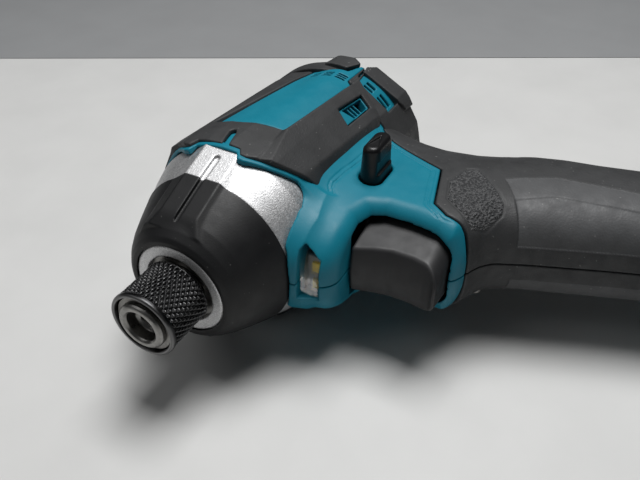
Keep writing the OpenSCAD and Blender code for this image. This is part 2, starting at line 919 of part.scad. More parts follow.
module motor_shaft() {
  color([0.7, 0.7, 0.71])
    union() {
      disc(shaft_r, gear_end_x, rear_bearing_x + bearing_w + 0.2);
      gear(
        sun_n, sun_pitch_r - tooth_ded, sun_pitch_r + tooth_add, backlash,
        gear_x - 0.4, gear_end_x + 0.6
      );
    }
}

module rotor_core() {
  color([0.25, 0.25, 0.27])
    ring(shaft_r + seat_gap, rotor_r, stator_x, stator_end_x);
}

module cooling_fan() {
  blades = 11;
  color([0.15, 0.15, 0.16])
    union() {
      ring(shaft_r + seat_gap, 7, fan_x, fan_x + fan_len);
      ring(6, stator_r - 2.5, fan_x + fan_len - 1.2, fan_x + fan_len);
      for (k = [0 : blades - 1])
        rotate([360 * k / blades, 0, 0])
          box([fan_x + 0.6, 6, -0.6], [fan_x + fan_len - 1, stator_r - 3, 0.6]);
    }
}

module stator_core() {
  shoe_r = rotor_r + 0.6;
  color([0.35, 0.35, 0.37])
    union() {
      ring(stator_r - 3, stator_r, stator_x, stator_end_x);
      for (k = [0 : stator_teeth - 1])
        rotate([360 * k / stator_teeth, 0, 0])
          box(
            [stator_x, shoe_r + 1.2, -tooth_half_w],
            [stator_end_x, stator_r - 2.5, tooth_half_w]
          );
      for (k = [0 : stator_teeth - 1])
        turned_part([60 * k - 22, 60 * k + 22], [
          [shoe_r, stator_x], [shoe_r + 1.4, stator_x], [shoe_r + 1.4, stator_end_x], [shoe_r, stator_end_x]
        ]);
    }
}

// A winding round each stator tooth
module stator_coils() {
  slot_half_w = tooth_half_w + 0.1;
  color([0.72, 0.4, 0.2])
    for (k = [0 : stator_teeth - 1])
      rotate([360 * k / stator_teeth, 0, 0])
        difference() {
          box([stator_x - 2.4, rotor_r + 2.3, -4.2], [stator_end_x + 2.4, stator_r - 3.8, 4.2]);
          box([stator_x - 0.1, rotor_r, -slot_half_w], [stator_end_x + 0.1, stator_r, slot_half_w]);
        }
}

module sensor_board() {
  color([0.1, 0.35, 0.2])
    ring(motor_bearing_r + 3.4, stator_r - 0.5, stator_x - 3.8, stator_x - 2.6);
}

module switch_unit() {
  color([0.12, 0.12, 0.13])
    difference() {
      box([switch_x, switch_y[0], -switch_half_w], [switch_x + switch_len, switch_y[1], switch_half_w]);
      translate([0, stem_y, 0])
        disc(stem_r + run_gap, switch_x - 1, switch_x + 15);
    }
}

module trigger() {
  plan = [
    [64, trigger_half_w], [46, trigger_half_w], [43.8, 11.4], [41.6, 6], [40.9, 0],
    [41.6, -6], [43.8, -11.4], [46, -trigger_half_w], [64, -trigger_half_w]
  ];
  color([0.25, 0.25, 0.26])
    union() {
      intersection() {
        slab(trigger_outline, -trigger_half_w, trigger_half_w);
        rotate([90, 0, 0])
          translate([0, 0, 30])
            linear_extrude(40)
              polygon(plan);
      }
      translate([0, stem_y, 0])
        disc(stem_r, 60, switch_x + 2);
    }
}

module reverse_lever() {
  color([0.06, 0.06, 0.06])
    lever_form(0, -lever_seat - 0.4, lever_seat + lever_out);
}

module lamp_lens() {
  color([0.85, 0.88, 0.9, 0.5])
    intersection() {
      translate([chin_x, lens_y[0], 0])
        rotate([-90, 0, 0])
          difference() {
            cylinder(r = chin_r - 0.8, h = lens_y[1] - lens_y[0]);
            translate([0, 0, -1])
              cylinder(r = chin_r - 3, h = far);
          }
      box([chin_x - chin_r, -far, -lens_half_w], [chin_x - 6, far, lens_half_w]);
    }
}

module lamp_board() {
  color([0.9, 0.9, 0.86])
    box(
      [lamp_x[0], lens_y[0] + 0.3, 4 - lens_half_w],
      [lamp_x[1], lens_y[1] - 0.3, lens_half_w - 4]
    );
}

module lamp_chips() {
  color([0.95, 0.85, 0.3])
    for (z = [-chip_z, chip_z])
      translate([lamp_x[0] - chip_t, (lens_y[0] + lens_y[1] - chip_w) / 2, z - chip_w / 2])
        cube([chip_t, chip_w, chip_w]);
}

module controller() {
  color([0.2, 0.2, 0.21])
    box(
      [foot_front_x + 12, bay_top + 1.8, 1 - bay_half_w],
      [bay_end_x, foot_top - 3, bay_half_w - 1]
    );
}

module terminal_block() {
  color([0.85, 0.75, 0.2])
    box(
      [block_x, bay_top - block_h, -block_half_w],
      [block_x + block_len, bay_top - seat_gap, block_half_w]
    );
}

module terminal_blades() {
  color([0.8, 0.7, 0.45])
    for (z = [-blade_z, 0, blade_z])
      translate([block_x - blade_out, bay_top - block_h - seat_gap - blade_h, z - blade_t / 2])
        cube([blade_len, blade_h, blade_t]);
}

module hook_inserts() {
  color([0.75, 0.65, 0.35])
    for (s = [-1, 1])
      mirror([0, 0, s < 0 ? 1 : 0])
        difference() {
          cross_bar([hook_x, hook_y], insert_r, foot_half_w - hook_len - 0.2, foot_half_w - 0.2);
          cross_bar([hook_x, hook_y], hook_r, 0, far);
        }
}

module housing_screws() {
  color([0.3, 0.3, 0.3])
    mirror([0, 0, 1])
      for (p = screw_places) {
        cross_bar(p, screw_r, -seat_height(p), seat_height(p) + 0.5);
        cross_bar(p, head_r, seat_height(p) + 0.1, seat_height(p) + 2.4);
      }
}

housing_left();
housing_right();
motor_rubber_left();
motor_rubber_right();
grip_rubber_left();
grip_rubber_right();
rear_cover();
hammer_case();
nose_bumper();
anvil_bush();
anvil();
bit_balls();
sleeve_ring();
sleeve_spring();
bit_sleeve();
hammer();
hammer_spring();
cam_balls();
spindle();
planet_pins();
planet_1();
planet_2();
planet_3();
ring_gear();
gear_plate();
carrier_bearing();
motor_front_bearing();
motor_rear_bearing();
motor_shaft();
rotor_core();
cooling_fan();
stator_core();
stator_coils();
sensor_board();
switch_unit();
trigger();
reverse_lever();
lamp_lens();
lamp_board();
lamp_chips();
controller();
terminal_block();
terminal_blades();
hook_inserts();
housing_screws();
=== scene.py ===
"""The looks of a cordless impact driver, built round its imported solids.

Shapes are worked out in millimetres, mostly as distance fields that are meshed and scaled to metres.
X runs back along the drive axis, Y points to the top of the tool and Z to its left side, which is up.
Angles round the drive axis are in degrees from the top of the tool towards its left side.
"""

import json
import math

import bpy
import numpy as np
import openvdb
from mathutils import Matrix, Vector


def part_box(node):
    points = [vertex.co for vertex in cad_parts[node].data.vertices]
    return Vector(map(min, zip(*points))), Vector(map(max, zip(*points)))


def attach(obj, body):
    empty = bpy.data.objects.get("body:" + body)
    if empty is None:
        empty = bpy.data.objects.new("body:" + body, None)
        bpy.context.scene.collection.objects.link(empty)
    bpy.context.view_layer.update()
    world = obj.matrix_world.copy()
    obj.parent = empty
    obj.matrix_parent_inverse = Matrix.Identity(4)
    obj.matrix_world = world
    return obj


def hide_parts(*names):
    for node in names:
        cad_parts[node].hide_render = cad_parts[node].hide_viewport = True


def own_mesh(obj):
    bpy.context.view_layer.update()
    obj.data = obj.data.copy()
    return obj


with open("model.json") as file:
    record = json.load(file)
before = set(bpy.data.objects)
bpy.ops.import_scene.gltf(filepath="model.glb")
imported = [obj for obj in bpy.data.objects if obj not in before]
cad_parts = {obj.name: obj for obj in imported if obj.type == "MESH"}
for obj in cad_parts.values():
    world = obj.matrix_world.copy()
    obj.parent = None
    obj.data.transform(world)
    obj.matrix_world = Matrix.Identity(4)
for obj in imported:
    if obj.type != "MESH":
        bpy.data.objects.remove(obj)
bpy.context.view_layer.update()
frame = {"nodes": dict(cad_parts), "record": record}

MM = 0.001
COARSE = 1.0


def span(node):
    """Lowest and highest corner of a CAD node, in millimetres."""
    low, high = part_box(node)
    return np.array(low) / MM, np.array(high) / MM


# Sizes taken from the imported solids
SLEEVE_R = span("bit_sleeve")[1][1]
SLEEVE_LEN = span("bit_sleeve")[1][0]
CASE_X = span("hammer_case")[0][0]
CASE_END_X = span("hammer_case")[1][0]
CASE_R = span("hammer_case")[1][1]
SHELL_R = span("housing_left")[1][1]
RUBBER_R = span("housing_left")[1][2]
RIM_X = span("motor_rubber_left")[0][0] - 0.3
CAP_X = span("rear_cover")[0][0] - 0.2
TOOL_LEN = span("rear_cover")[1][0]
FOOT_LOW = span("housing_left")[0][1]
FOOT_BACK = span("housing_left")[1][0]
LENS_LOW, LENS_HIGH = span("lamp_lens")
LENS_BACK_X = span("lamp_chips")[0][0] - 0.3
LEVER_LOW, LEVER_HIGH = span("reverse_lever")
TRIGGER_LOW, TRIGGER_HIGH = span("trigger")
FLOOR_Z = -RUBBER_R
# Half the gap between the two halves at the seam
SEAM_GAP = 0.09
# Millimetres to a degree on the rubber, under the cover's vents and on the rear cap
RUBBER_ARC = 0.54
COVER_ARC = 0.49
CAP_ARC = 0.46

# The neck and grip: place below the drive axis, front, rear and half width
GRIP_HALF_W = 17.2
GRIP_ROWS = np.array([
    (-8, 36, 114, GRIP_HALF_W + 7.4), (-19, 31.5, 110, GRIP_HALF_W + 4.0),
    (-26, 32.6, 107.4, GRIP_HALF_W + 1.5), (-33, 33.8, 105.7, GRIP_HALF_W + 0.2),
    (-38, 35.6, 104.8, GRIP_HALF_W - 0.2), (-45, 36, 104.4, GRIP_HALF_W - 0.4),
    (-55, 37, 106.2, GRIP_HALF_W - 0.4), (-61.5, 45, 108.1, GRIP_HALF_W - 0.4),
    (-63.6, 51, 108.7, GRIP_HALF_W - 0.4), (-65.8, 55.6, 109.2, GRIP_HALF_W - 0.5),
    (-68, 61.6, 109.8, GRIP_HALF_W - 0.4), (-71.5, 65.6, 110.7, GRIP_HALF_W - 0.2),
    (-80, 69.4, 112.6, GRIP_HALF_W), (-90, 73.2, 113.8, GRIP_HALF_W),
    (-100, 77, 115.8, GRIP_HALF_W), (-112, 81.2, 118.2, GRIP_HALF_W - 0.2),
    (-126, 85.8, 122, GRIP_HALF_W - 0.6), (-141, 89, 126.5, GRIP_HALF_W - 0.4),
    (-151, 86, 132, GRIP_HALF_W + 6),
])
GRIP_POWER = 2.8
# The housing screws' places, and the height of each one's seat from the seam. The first two are on top
SCREWS = [
    (57, 26.2, 7), (80, 26.2, 7), (52, -32, 11.2), (92, -33.5, 11.2), (69.4, -66.6, 11.2), (100, -68, 11.2),
    (96, -104, 11.2), (75.5, -153.4, 22.2), (133, -153.4, 22.2),
]
SCREW_BORE_R = 3.3
BOSS_R = 4.6
BOSS_TOP = 10.6
# The painted part of the neck, seen from the side
NECK = [
    (20, 20), (97, 20), (97, -21), (88.7, -29.8), (80.3, -49), (63, -53.3),
    (59.8, -58), (59, -64), (56, -69), (20, -69),
]
# The window in the neck that the trigger comes out of
WINDOW = [
    (10, -37), (50, -36.7), (54.4, -38.6), (56.2, -42.4), (56.4, -50), (55.6, -57.5),
    (53.8, -62.4), (49, -63.9), (10, -63.9),
]
# The front rim of the housing, as angle and place
RIM = [
    (0, 47.5), (20, 47.2), (36, 46.6), (50, 44.8), (63, 41), (67, 40.6), (69.6, 43.1),
    (96.6, 42.8), (99.4, 40.6), (103, 40.6), (117, 43.6), (131, 47.5), (180, 49),
]
# The front edge of the rear cover, as angle and place
COVER_EDGE = [
    (0, 103.2), (82, 103), (102.6, 103.9), (103.6, 104.6), (106.4, 110.8), (108.8, 111.4), (109.9, 110.6),
    (110.6, 104.8), (113.6, 101.6), (137, 94.8), (143, 94.2), (180, 96),
]
# Where the chin's upper edge runs over the hammer case, as place and height
CHIN_TOP = [(31, -23.7), (34, -22.9), (40.4, -22.9), (43.8, -21.1), (47.6, -18.8), (49.4, 4)]
# The middle and half width of the flat on each side of the nose
FLAT_Y = 1.5
FLAT_HALF_W = 5.6
# The bare panel on the side, as place and angle
PANEL = [
    (56.2, 63.6), (58.8, 107), (96.6, 112.4), (98, 109), (113, 109), (113, 79.5), (101, 78),
]
# The lower edge of the rubber beside the panel, as place and angle
RUBBER_LOW = [
    (50, 143.4), (53.2, 143.4), (55, 141.2), (57, 140.2), (63, 140.6), (71, 142.2), (82, 143), (97, 144),
]
# The notch in front of the panel and the vents, as place and angle
NOTCH = [(43, 90.2), (50.6, 86.4), (52, 84.8), (52, 83.2), (51, 82.2), (43, 86.2)]
VENT = [(81.1, 118.1), (95.1, 121.2), (93.5, 130.1), (78.8, 128.6)]
VENT_OPENING = [(83.3, 119.8), (94.2, 122.4), (92.8, 129), (84.6, 128.2)]
VENT_BARS = (86.7, 88.3, 90.2)
COVER_VENT = [(102.2, 113.2), (107.4, 112.2), (108.2, 140.4), (100.8, 140.4)]
# The slots at the rear of the panel: the middle angle of each group and the places in it
PANEL_SLOT_TURNS = (84.4, 93.8, 103.4)
PANEL_SLOT_PLACES = (97.6, 98.95, 100.3)
# The slots under the cover's vents: their first and last angles, then place and half width
COVER_SLOT_TURNS = ((117.2, 124.4), (129, 138.6))
COVER_SLOT_PLACES = ((105.2, 0.75), (103, 0.55))
# Where painted shade lies deep behind the vents: first and last place, first and last angle
DEEP_ROOMS = [(80, 96, 117, 131), (96, 101.4, 80, 108), (101, 109, 114, 142)]
# The crest of the rubber below the panel: its two edges as place and angle, then place and height
CREST_LOW = [(42, 109.4), (47, 108.6), (58, 106), (97, 111)]
CREST_HIGH = [(42, 115), (47, 113.4), (58.5, 108.2), (97, 113)]
CREST_RISE = [(50, 1.4), (62, 0.9)]
# The raised blocks on the rear cover, as place and angle
COVER_BLOCKS = [
    [(106.2, 84), (105, 101), (110.4, 106.2), (113.2, 100), (113.2, 87)],
    [(107.2, 111.4), (110.8, 110.2), (114.9, 114.4), (116, 148.4), (110.3, 147), (107.9, 139.8)],
]
# How fast the top of the motor housing falls towards the rear
TAPER = 0.052
TAPER_FROM_X = 47
TAPER_LEN = 62
# Where the raised rail along the top ends on each half, as an angle, and how it falls behind the screws
LEFT_RAIL = 7
RIGHT_RAIL = 25
RAIL_FALL = 2.2
RAIL_FALL_X = 85
RAIL_FALL_LEN = 26
# How far the panel lies below the rubber
PANEL_INSET = 0.75
# The flats on the case and on the bumper: where their heights hold, the heights and the slopes
SADDLE_X, SADDLE_H, SADDLE_SLOPE = 33.4, 25.5, 0.345
PAD_X, PAD_H, PAD_SLOPE = 20.5, 20.2, 0.42
SADDLE_GROOVE = 0.9
PAD_GROOVE = 1.0
# The anvil's radius in front, its snap ring's place and its hexagon
ANVIL_R = 7
CLIP_X = 1
HEX_FLATS = 6.45
# Where the lamp's window ends on the right half
LAMP_END = 5.2
# The trigger's front, as place below the drive axis and place along it
TRIGGER_FRONT = [
    (-63, 43.2), (-62, 43.6), (-60.5, 44.6), (-58, 45.5), (-54, 46.2), (-48, 46.2), (-43, 45.2), (-40, 44.2),
    (-38, 43.6),
]
# The grip's rough patch, its side panel and the raised band along the panel's rear, seen from the side
GRIP_PATCH = [
    (75.8, -53.4), (84.6, -55.8), (85.6, -58.8), (79.6, -64.8), (73.6, -70.2), (70.6, -70.9), (64.7, -68.3),
    (60.6, -65.2), (64.3, -59), (66.8, -55.8),
]
GRIP_PANEL = [
    (84, -67.2), (76.4, -72.4), (66.2, -78.2), (65.7, -79.4), (70.6, -90.9), (75.7, -105.1), (82, -128),
    (87, -142), (110, -142), (102, -126), (93.6, -102.7), (90.9, -80.2),
]
GRIP_BAND = GRIP_PANEL[:2] + [(82.1, -82.1), (86.5, -103.7), (93, -124), (98, -142)] + GRIP_PANEL[8:]
# Only faces further than this from the seam carry the patch and panel
GRIP_SIDE_Z = 6
# The foot's side outline and the belt hook's threads
FOOT_SIDE = [
    (70, -153), (76, -149), (131.5, -148), (139.5, -154), (139.5, -166), (135.5, -170), (72, -170),
    (70, -168),
]
HOOK_X, HOOK_Y, HOOK_R = 121, -165.4, 3.3
# The camera that was fitted to the photograph, and its focal length in parts of the picture's width
CAMERA_PLACE = Vector((-86.7, -97.3, 124.1))
CAMERA_RIGHT = Vector((0.468, -0.8837, 0.0))
CAMERA_AHEAD = Vector((0.6943, 0.3677, -0.6186))
FOCAL_PART = 680 / 640
SENSOR_W = 36
# The floor, and the grey sheet on it that stands for the wall of the photograph
FLOOR_REACH = 900
GREY_Z = FLOOR_Z + 0.3
GREY_CORNERS = [(-180, 845), (654, -717), (1448, -293), (614, 1269)]
LAMP_TARGET = (60, -30, 0)


class Grid:
    """Sample points of a box in millimetres, kept as arrays that broadcast."""

    def __init__(self, low, high, step):
        self.step = step * COARSE
        self.low = np.array(low, np.float32)
        counts = np.ceil((np.array(high) - self.low) / self.step).astype(int) + 1
        axes = [self.low[i] + self.step * np.arange(counts[i], dtype=np.float32) for i in range(3)]
        self.x = axes[0].reshape(-1, 1, 1)
        self.y = axes[1].reshape(1, -1, 1)
        self.z = axes[2].reshape(1, 1, -1)
        self.r = np.sqrt(self.y**2 + self.z**2)
        self.turn = np.degrees(np.arctan2(np.abs(self.z), self.y))
        self.rail = LEFT_RAIL


def polygon(u, v, corners):
    """Signed distance to a closed outline, negative inside."""
    u, v = np.broadcast_arrays(np.asarray(u, np.float32), np.asarray(v, np.float32))
    nearest = np.full(u.shape, np.inf, np.float32)
    inside = np.zeros(u.shape, bool)
    for (au, av), (bu, bv) in zip(corners, list(corners[1:]) + [corners[0]]):
        eu, ev = bu - au, bv - av
        wu, wv = u - au, v - av
        t = np.clip((wu * eu + wv * ev) / (eu * eu + ev * ev), 0, 1)
        nearest = np.minimum(nearest, (wu - t * eu) ** 2 + (wv - t * ev) ** 2)
        if ev:
            inside ^= ((av > v) != (bv > v)) & (wu < eu * wv / ev)
    return np.where(inside, -1, 1).astype(np.float32) * np.sqrt(nearest)


def looked_up(table, place):
    """Rows of a table read between its columns."""
    i = np.clip(place.astype(np.int32), 0, table.shape[1] - 2)
    part = (place - i).astype(np.float32)
    return table[:, i] * (1 - part) + table[:, i + 1] * part


def turned(g, outline):
    """Distance to an outline of place and radius, turned about the drive axis."""
    cell = 0.1
    radii = np.arange(0, float(g.r.max()) + 1, cell)
    table = polygon(g.x.reshape(-1, 1), radii.reshape(1, -1), outline)
    return looked_up(table, g.r[0] / cell)


def wrapped(g, outline, radius):
    """Distance along the surface to an outline of place and angle, wrapped on both sides."""
    cell = 0.25
    arc = math.radians(1) * radius
    angles = np.arange(0, 181, cell)
    table = polygon(
        g.x.reshape(-1, 1), angles.reshape(1, -1) * arc, [(x, a * arc) for x, a in outline]
    )
    return looked_up(table, g.turn[0] / cell)


def edge_by_angle(g, points):
    """How far in front of an edge each point lies, where the edge's place depends on the angle."""
    angles, places = zip(*points)
    return np.interp(g.turn, angles, places).astype(np.float32) - g.x


def box(g, low, high, r=0.0):
    """Distance to a box with round edges."""
    q = [
        np.abs(axis - (a + b) / 2) - (b - a) / 2 + r
        for axis, a, b in zip((g.x, g.y, g.z), low, high)
    ]
    outside = np.sqrt(sum(np.maximum(d, 0) ** 2 for d in q))
    inside = np.minimum(np.maximum(np.maximum(q[0], q[1]), q[2]), 0)
    return outside + inside - r


def both(a, b, r=0.0):
    """What two fields share, with its edge rounded."""
    if r == 0:
        return np.maximum(a, b)
    corner = np.hypot(np.maximum(a + r, 0), np.maximum(b + r, 0))
    return np.minimum(np.maximum(a, b), -r) + corner


def cut(a, b, r=0.0):
    """The first field without the second, with the edge rounded."""
    return both(a, -b, r)


def joined(a, b, r=0.0):
    """Two fields together, with the corner between them filled."""
    return -both(-a, -b, r)


def eased(part):
    """A soft step from 0 to 1."""
    part = np.clip(part, 0, 1)
    return part * part * (3 - 2 * part)


def groove(distance, width, depth):
    """How much a soft groove along zero distance takes off a surface."""
    return depth * np.exp(-((distance / width) ** 2))


def oblong(u, w, half_u, half_w):
    """Distance to a rounded oblong, close to true near its surface."""
    a = np.abs(u) / half_u + 1e-6
    b = np.abs(w) / half_w + 1e-6
    total = a**GRIP_POWER + b**GRIP_POWER
    size = total ** (1 / GRIP_POWER)
    slope = np.hypot(a ** (GRIP_POWER - 1) / half_u, b ** (GRIP_POWER - 1) / half_w)
    return (size - 1) * total ** (1 - 1 / GRIP_POWER) / np.maximum(slope, 1e-4)


def grip_spans(y):
    """Front, rear and half width of the grip at each place, eased between the rows."""
    fine = 0.25
    ease = np.hanning(21)
    ease /= ease.sum()
    places = np.arange(-160, 2, fine)
    spans = []
    for column in (1, 2, 3):
        line = np.interp(places, GRIP_ROWS[::-1, 0], GRIP_ROWS[::-1, column])
        padded = np.pad(line, len(ease) // 2, mode="edge")
        spans.append(np.interp(y, places, np.convolve(padded, ease, mode="valid")).astype(np.float32))
    return spans


def grip_field(g):
    """Distance to the neck and grip, left open at both ends."""
    front, rear, half_w = grip_spans(g.y)
    return oblong(g.x - (front + rear) / 2, g.z, (rear - front) / 2, half_w)


def along(points, place):
    """A table of place and value, read at each place."""
    return np.interp(place, *zip(*points))


# Meshes


def ring_quads(rings, sides):
    """Faces between rings of points that follow each other."""
    i, k = np.meshgrid(np.arange(rings - 1), np.arange(sides), indexing="ij")
    after = (k + 1) % sides
    quads = np.stack([i * sides + k, (i + 1) * sides + k, (i + 1) * sides + after, i * sides + after], -1)
    return quads.reshape(-1, 4)


def face_centres(mesh):
    """The middles of a mesh's faces in millimetres."""
    centres = np.empty(len(mesh.polygons) * 3, np.float32)
    mesh.polygons.foreach_get("center", centres)
    return centres.reshape(-1, 3).T / MM


def placed(name, data):
    """A new object in the scene."""
    made = bpy.data.objects.new(name, data)
    bpy.context.scene.collection.objects.link(made)
    return made


def mesh_object(name, points, faces):
    """A smooth object from arrays of points in millimetres and of faces."""
    mesh = bpy.data.meshes.new(name)
    mesh.vertices.add(len(points))
    mesh.vertices.foreach_set("co", (np.asarray(points, np.float64) * MM).ravel())
    sizes = np.concatenate([np.full(len(f), f.shape[1]) for f in faces if len(f)])
    corners = np.concatenate([f.ravel() for f in faces if len(f)])
    mesh.loops.add(len(corners))
    mesh.loops.foreach_set("vertex_index", corners)
    mesh.polygons.add(len(sizes))
    mesh.polygons.foreach_set("loop_start", np.concatenate([[0], np.cumsum(sizes)[:-1]]))
    mesh.polygons.foreach_set("use_smooth", np.ones(len(sizes), bool))
    mesh.update(calc_edges=True)
    mesh.validate()
    return placed(name, mesh)


def solid(name, g, field):
    """Meshes a field where it is zero, closed at the ends of its grid and without lone points."""
    shape = (g.x.size, g.y.size, g.z.size)
    field = np.array(np.broadcast_to(field, shape), np.float32, order="C")
    for axis in range(3):
        for end in (0, -1):
            face = [slice(None)] * 3
            face[axis] = end
            field[tuple(face)] = np.maximum(field[tuple(face)], g.step)
    for sign in (1, -1):
        inside = field * sign < 0
        beside = np.zeros_like(inside)
        for axis in range(3):
            beside |= np.roll(inside, 1, axis) | np.roll(inside, -1, axis)
        field[inside & ~beside] = sign * g.step
    volume = openvdb.FloatGrid(1.0)
    volume.copyFromArray(field)
    points, triangles, quads = volume.convertToPolygons(isovalue=0.0, adaptivity=0.0)
    return mesh_object(name, points * g.step + g.low, [quads[:, ::-1], triangles[:, ::-1]])


def halves(name, form, slot):
    """Both halves of a piece: the left as it is made, the right turned over and bored for its screws."""
    pieces = []
    for side in ("left", "right"):
        piece = form(side == "right")
        piece.name = piece.data.name = f"{name}_{side}_moulding"
        if side == "right":
            piece.data.transform(Matrix.Scale(-1, 4, (0, 0, 1)))
            piece.data.flip_normals()
        node = f"{'housing' if name == 'foot' else name}_{side}"
        dress(piece, looks[slot], "tool", slot, node)
        pieces.append(piece)
    return pieces


def dress(piece, material, body, slot, *nodes):
    """Gives a piece its material and its body, and hides the CAD nodes it stands for."""
    piece.data.materials.clear()
    piece.data.materials.append(material)
    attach(piece, body)
    if nodes:
        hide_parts(*nodes)
    return piece


# Materials


class Shader:
    """A Principled material whose colour, roughness and bump come from noise nodes."""

    def __init__(self, name, colour, roughness, **sockets):
        self.material = bpy.data.materials.new(name)
        self.material.use_nodes = True
        self.tree = self.material.node_tree
        self.bsdf = self.tree.nodes["Principled BSDF"]
        self.bsdf.inputs["Base Color"].default_value = (*colour, 1)
        self.bsdf.inputs["Roughness"].default_value = roughness
        for socket, value in sockets.items():
            self.bsdf.inputs[socket.replace("_", " ")].default_value = value
        self.colour = (*colour, 1)
        self.place = self.node("ShaderNodeTexCoord").outputs["Object"]
        self.colour_end = None

    def node(self, kind, **values):
        made = self.tree.nodes.new(kind)
        for key, value in values.items():
            if key in made.inputs:
                made.inputs[key].default_value = value
            else:
                setattr(made, key, value)
        return made

    def link(self, a, b):
        self.tree.links.new(a, b)

    def noise(self, scale, detail=4.0, roughness=0.55):
        made = self.node("ShaderNodeTexNoise", Scale=scale, Detail=detail, Roughness=roughness)
        self.link(self.place, made.inputs["Vector"])
        return made.outputs["Fac"]

    def cells(self, scale):
        made = self.node("ShaderNodeTexVoronoi", Scale=scale)
        self.link(self.place, made.inputs["Vector"])
        return made.outputs["Distance"]

    def ramp(self, value, low, high, first=0.0, last=1.0):
        made = self.node("ShaderNodeMapRange", clamp=True)
        for key, number in zip(("From Min", "From Max", "To Min", "To Max"), (low, high, first, last)):
            made.inputs[key].default_value = number
        self.link(value, made.inputs["Value"])
        return made.outputs["Result"]

    def tint(self, mask, colour):
        """Paints another colour where the mask is one."""
        mix = self.node("ShaderNodeMix", data_type="RGBA")
        self.link(mask, mix.inputs["Factor"])
        colours = [s for s in mix.inputs if s.type == "RGBA"]
        if self.colour_end:
            self.link(self.colour_end, colours[0])
        else:
            colours[0].default_value = self.colour
        colours[1].default_value = (*colour, 1)
        self.colour_end = [s for s in mix.outputs if s.type == "RGBA"][0]
        self.link(self.colour_end, self.bsdf.inputs["Base Color"])
        return self

    def rough(self, mask, first, last):
        self.link(self.ramp(mask, 0.3, 0.7, first, last), self.bsdf.inputs["Roughness"])
        return self

    def bump(self, height, strength, distance):
        made = self.node("ShaderNodeBump", Strength=strength, Distance=distance)
        self.link(height, made.inputs["Height"])
        before = self.bsdf.inputs["Normal"].links
        if before:
            self.link(before[0].from_socket, made.inputs["Normal"])
        self.link(made.outputs["Normal"], self.bsdf.inputs["Normal"])
        return self

    def edges(self):
        """One on outer edges, for wear there and for a painted highlight on them."""
        return self.ramp(self.node("ShaderNodeNewGeometry").outputs["Pointiness"], 0.52, 0.6)


def teal_plastic():
    s = Shader("teal_plastic", (0.004, 0.17, 0.243), 0.46, Specular_IOR_Level=0.28)
    s.tint(s.ramp(s.noise(60), 0.35, 0.75), (0.008, 0.19, 0.265))
    s.tint(s.ramp(s.noise(1900, 2), 0.62, 0.8, 0, 0.35), (0.03, 0.27, 0.34))
    s.rough(s.noise(240), 0.4, 0.52)
    return s.bump(s.noise(2600, 3), 0.16, 0.0002).material


def soft_rubber(name="soft_rubber", colour=(0.023, 0.0236, 0.0245), grain=2200, dust=0.4):
    s = Shader(name, colour, 0.62)
    lighter = tuple(c * 1.5 for c in colour)
    s.tint(s.ramp(s.noise(90), 0.35, 0.75), lighter)
    s.tint(s.ramp(s.noise(900, 1), 0.74, 0.78, 0, dust), (0.25, 0.25, 0.24))
    s.rough(s.noise(300), 0.52, 0.72)
    s.bump(s.cells(grain), 0.18, 0.0002)
    return s.bump(s.noise(grain * 0.4, 4), 0.12, 0.0003).material


def satin_rubber():
    s = Shader("bumper_rubber", (0.0055, 0.0057, 0.0064), 0.5, Specular_IOR_Level=0.34)
    s.tint(s.ramp(s.noise(70), 0.35, 0.75), (0.009, 0.0092, 0.01))
    s.tint(s.ramp(s.noise(1100, 1), 0.76, 0.8, 0, 0.3), (0.2, 0.2, 0.19))
    s.rough(s.noise(200), 0.44, 0.56)
    return s.bump(s.noise(2600, 3), 0.14, 0.0002).material


def grip_patch():
    s = Shader("grip_patch", (0.03, 0.031, 0.033), 0.7)
    s.tint(s.ramp(s.noise(1500, 2), 0.42, 0.62), (0.1, 0.101, 0.103))
    s.rough(s.noise(300), 0.6, 0.8)
    return s.bump(s.noise(1500, 2, 0.5), 1.0, 0.0016).material


def dark_plastic(name, colour, low, high, **sockets):
    s = Shader(name, colour, (low + high) / 2, **sockets)
    s.tint(s.ramp(s.noise(120), 0.35, 0.75), tuple(c * 1.35 for c in colour))
    s.rough(s.noise(260), low, high)
    return s.bump(s.noise(3000, 3), 0.1, 0.0001).material


def metal(name, colour, low, high, grain, strength, pale=None):
    s = Shader(name, colour, (low + high) / 2, Metallic=1.0)
    s.tint(s.ramp(s.noise(grain, 3), 0.4, 0.7), pale or tuple(min(1, c * 1.3) for c in colour))
    s.rough(s.noise(grain * 0.6, 3), low, high)
    return s.bump(s.noise(grain, 3, 0.65), strength, 0.0002).material


def knurled_steel():
    s = Shader("black_oxide", (0.022, 0.022, 0.023), 0.34, Metallic=1.0)
    s.tint(s.ramp(s.noise(500), 0.4, 0.7), (0.04, 0.04, 0.041))
    # Pale on the diamonds' pointed tips: worn oxide there, and a painted highlight too
    s.tint(s.edges(), (0.42, 0.42, 0.42))
    s.rough(s.noise(700), 0.26, 0.42)
    return s.bump(s.noise(1800, 3), 0.12, 0.0001).material


def clear_lens():
    s = Shader("clear_lens", (0.93, 0.96, 0.97), 0.05, IOR=1.45, Alpha=0.24)
    s.bsdf.inputs["Transmission Weight"].default_value = 1.0
    s.rough(s.noise(300), 0.03, 0.08)
    return s.bump(s.noise(160, 2), 0.05, 0.0002).material


def wire(name, colour, turns):
    s = Shader(name, colour, 0.35, Metallic=1.0)
    wave = s.node("ShaderNodeTexWave", Scale=turns, Distortion=0.4)
    s.link(s.place, wave.inputs["Vector"])
    # Darker in the hollows between the turns: painted shade between the windings
    s.tint(s.ramp(wave.outputs["Fac"], 0.2, 0.6, 0.7, 0), tuple(c * 0.3 for c in colour))
    s.rough(s.noise(400), 0.25, 0.45)
    return s.bump(wave.outputs["Fac"], 0.6, 0.0004).material


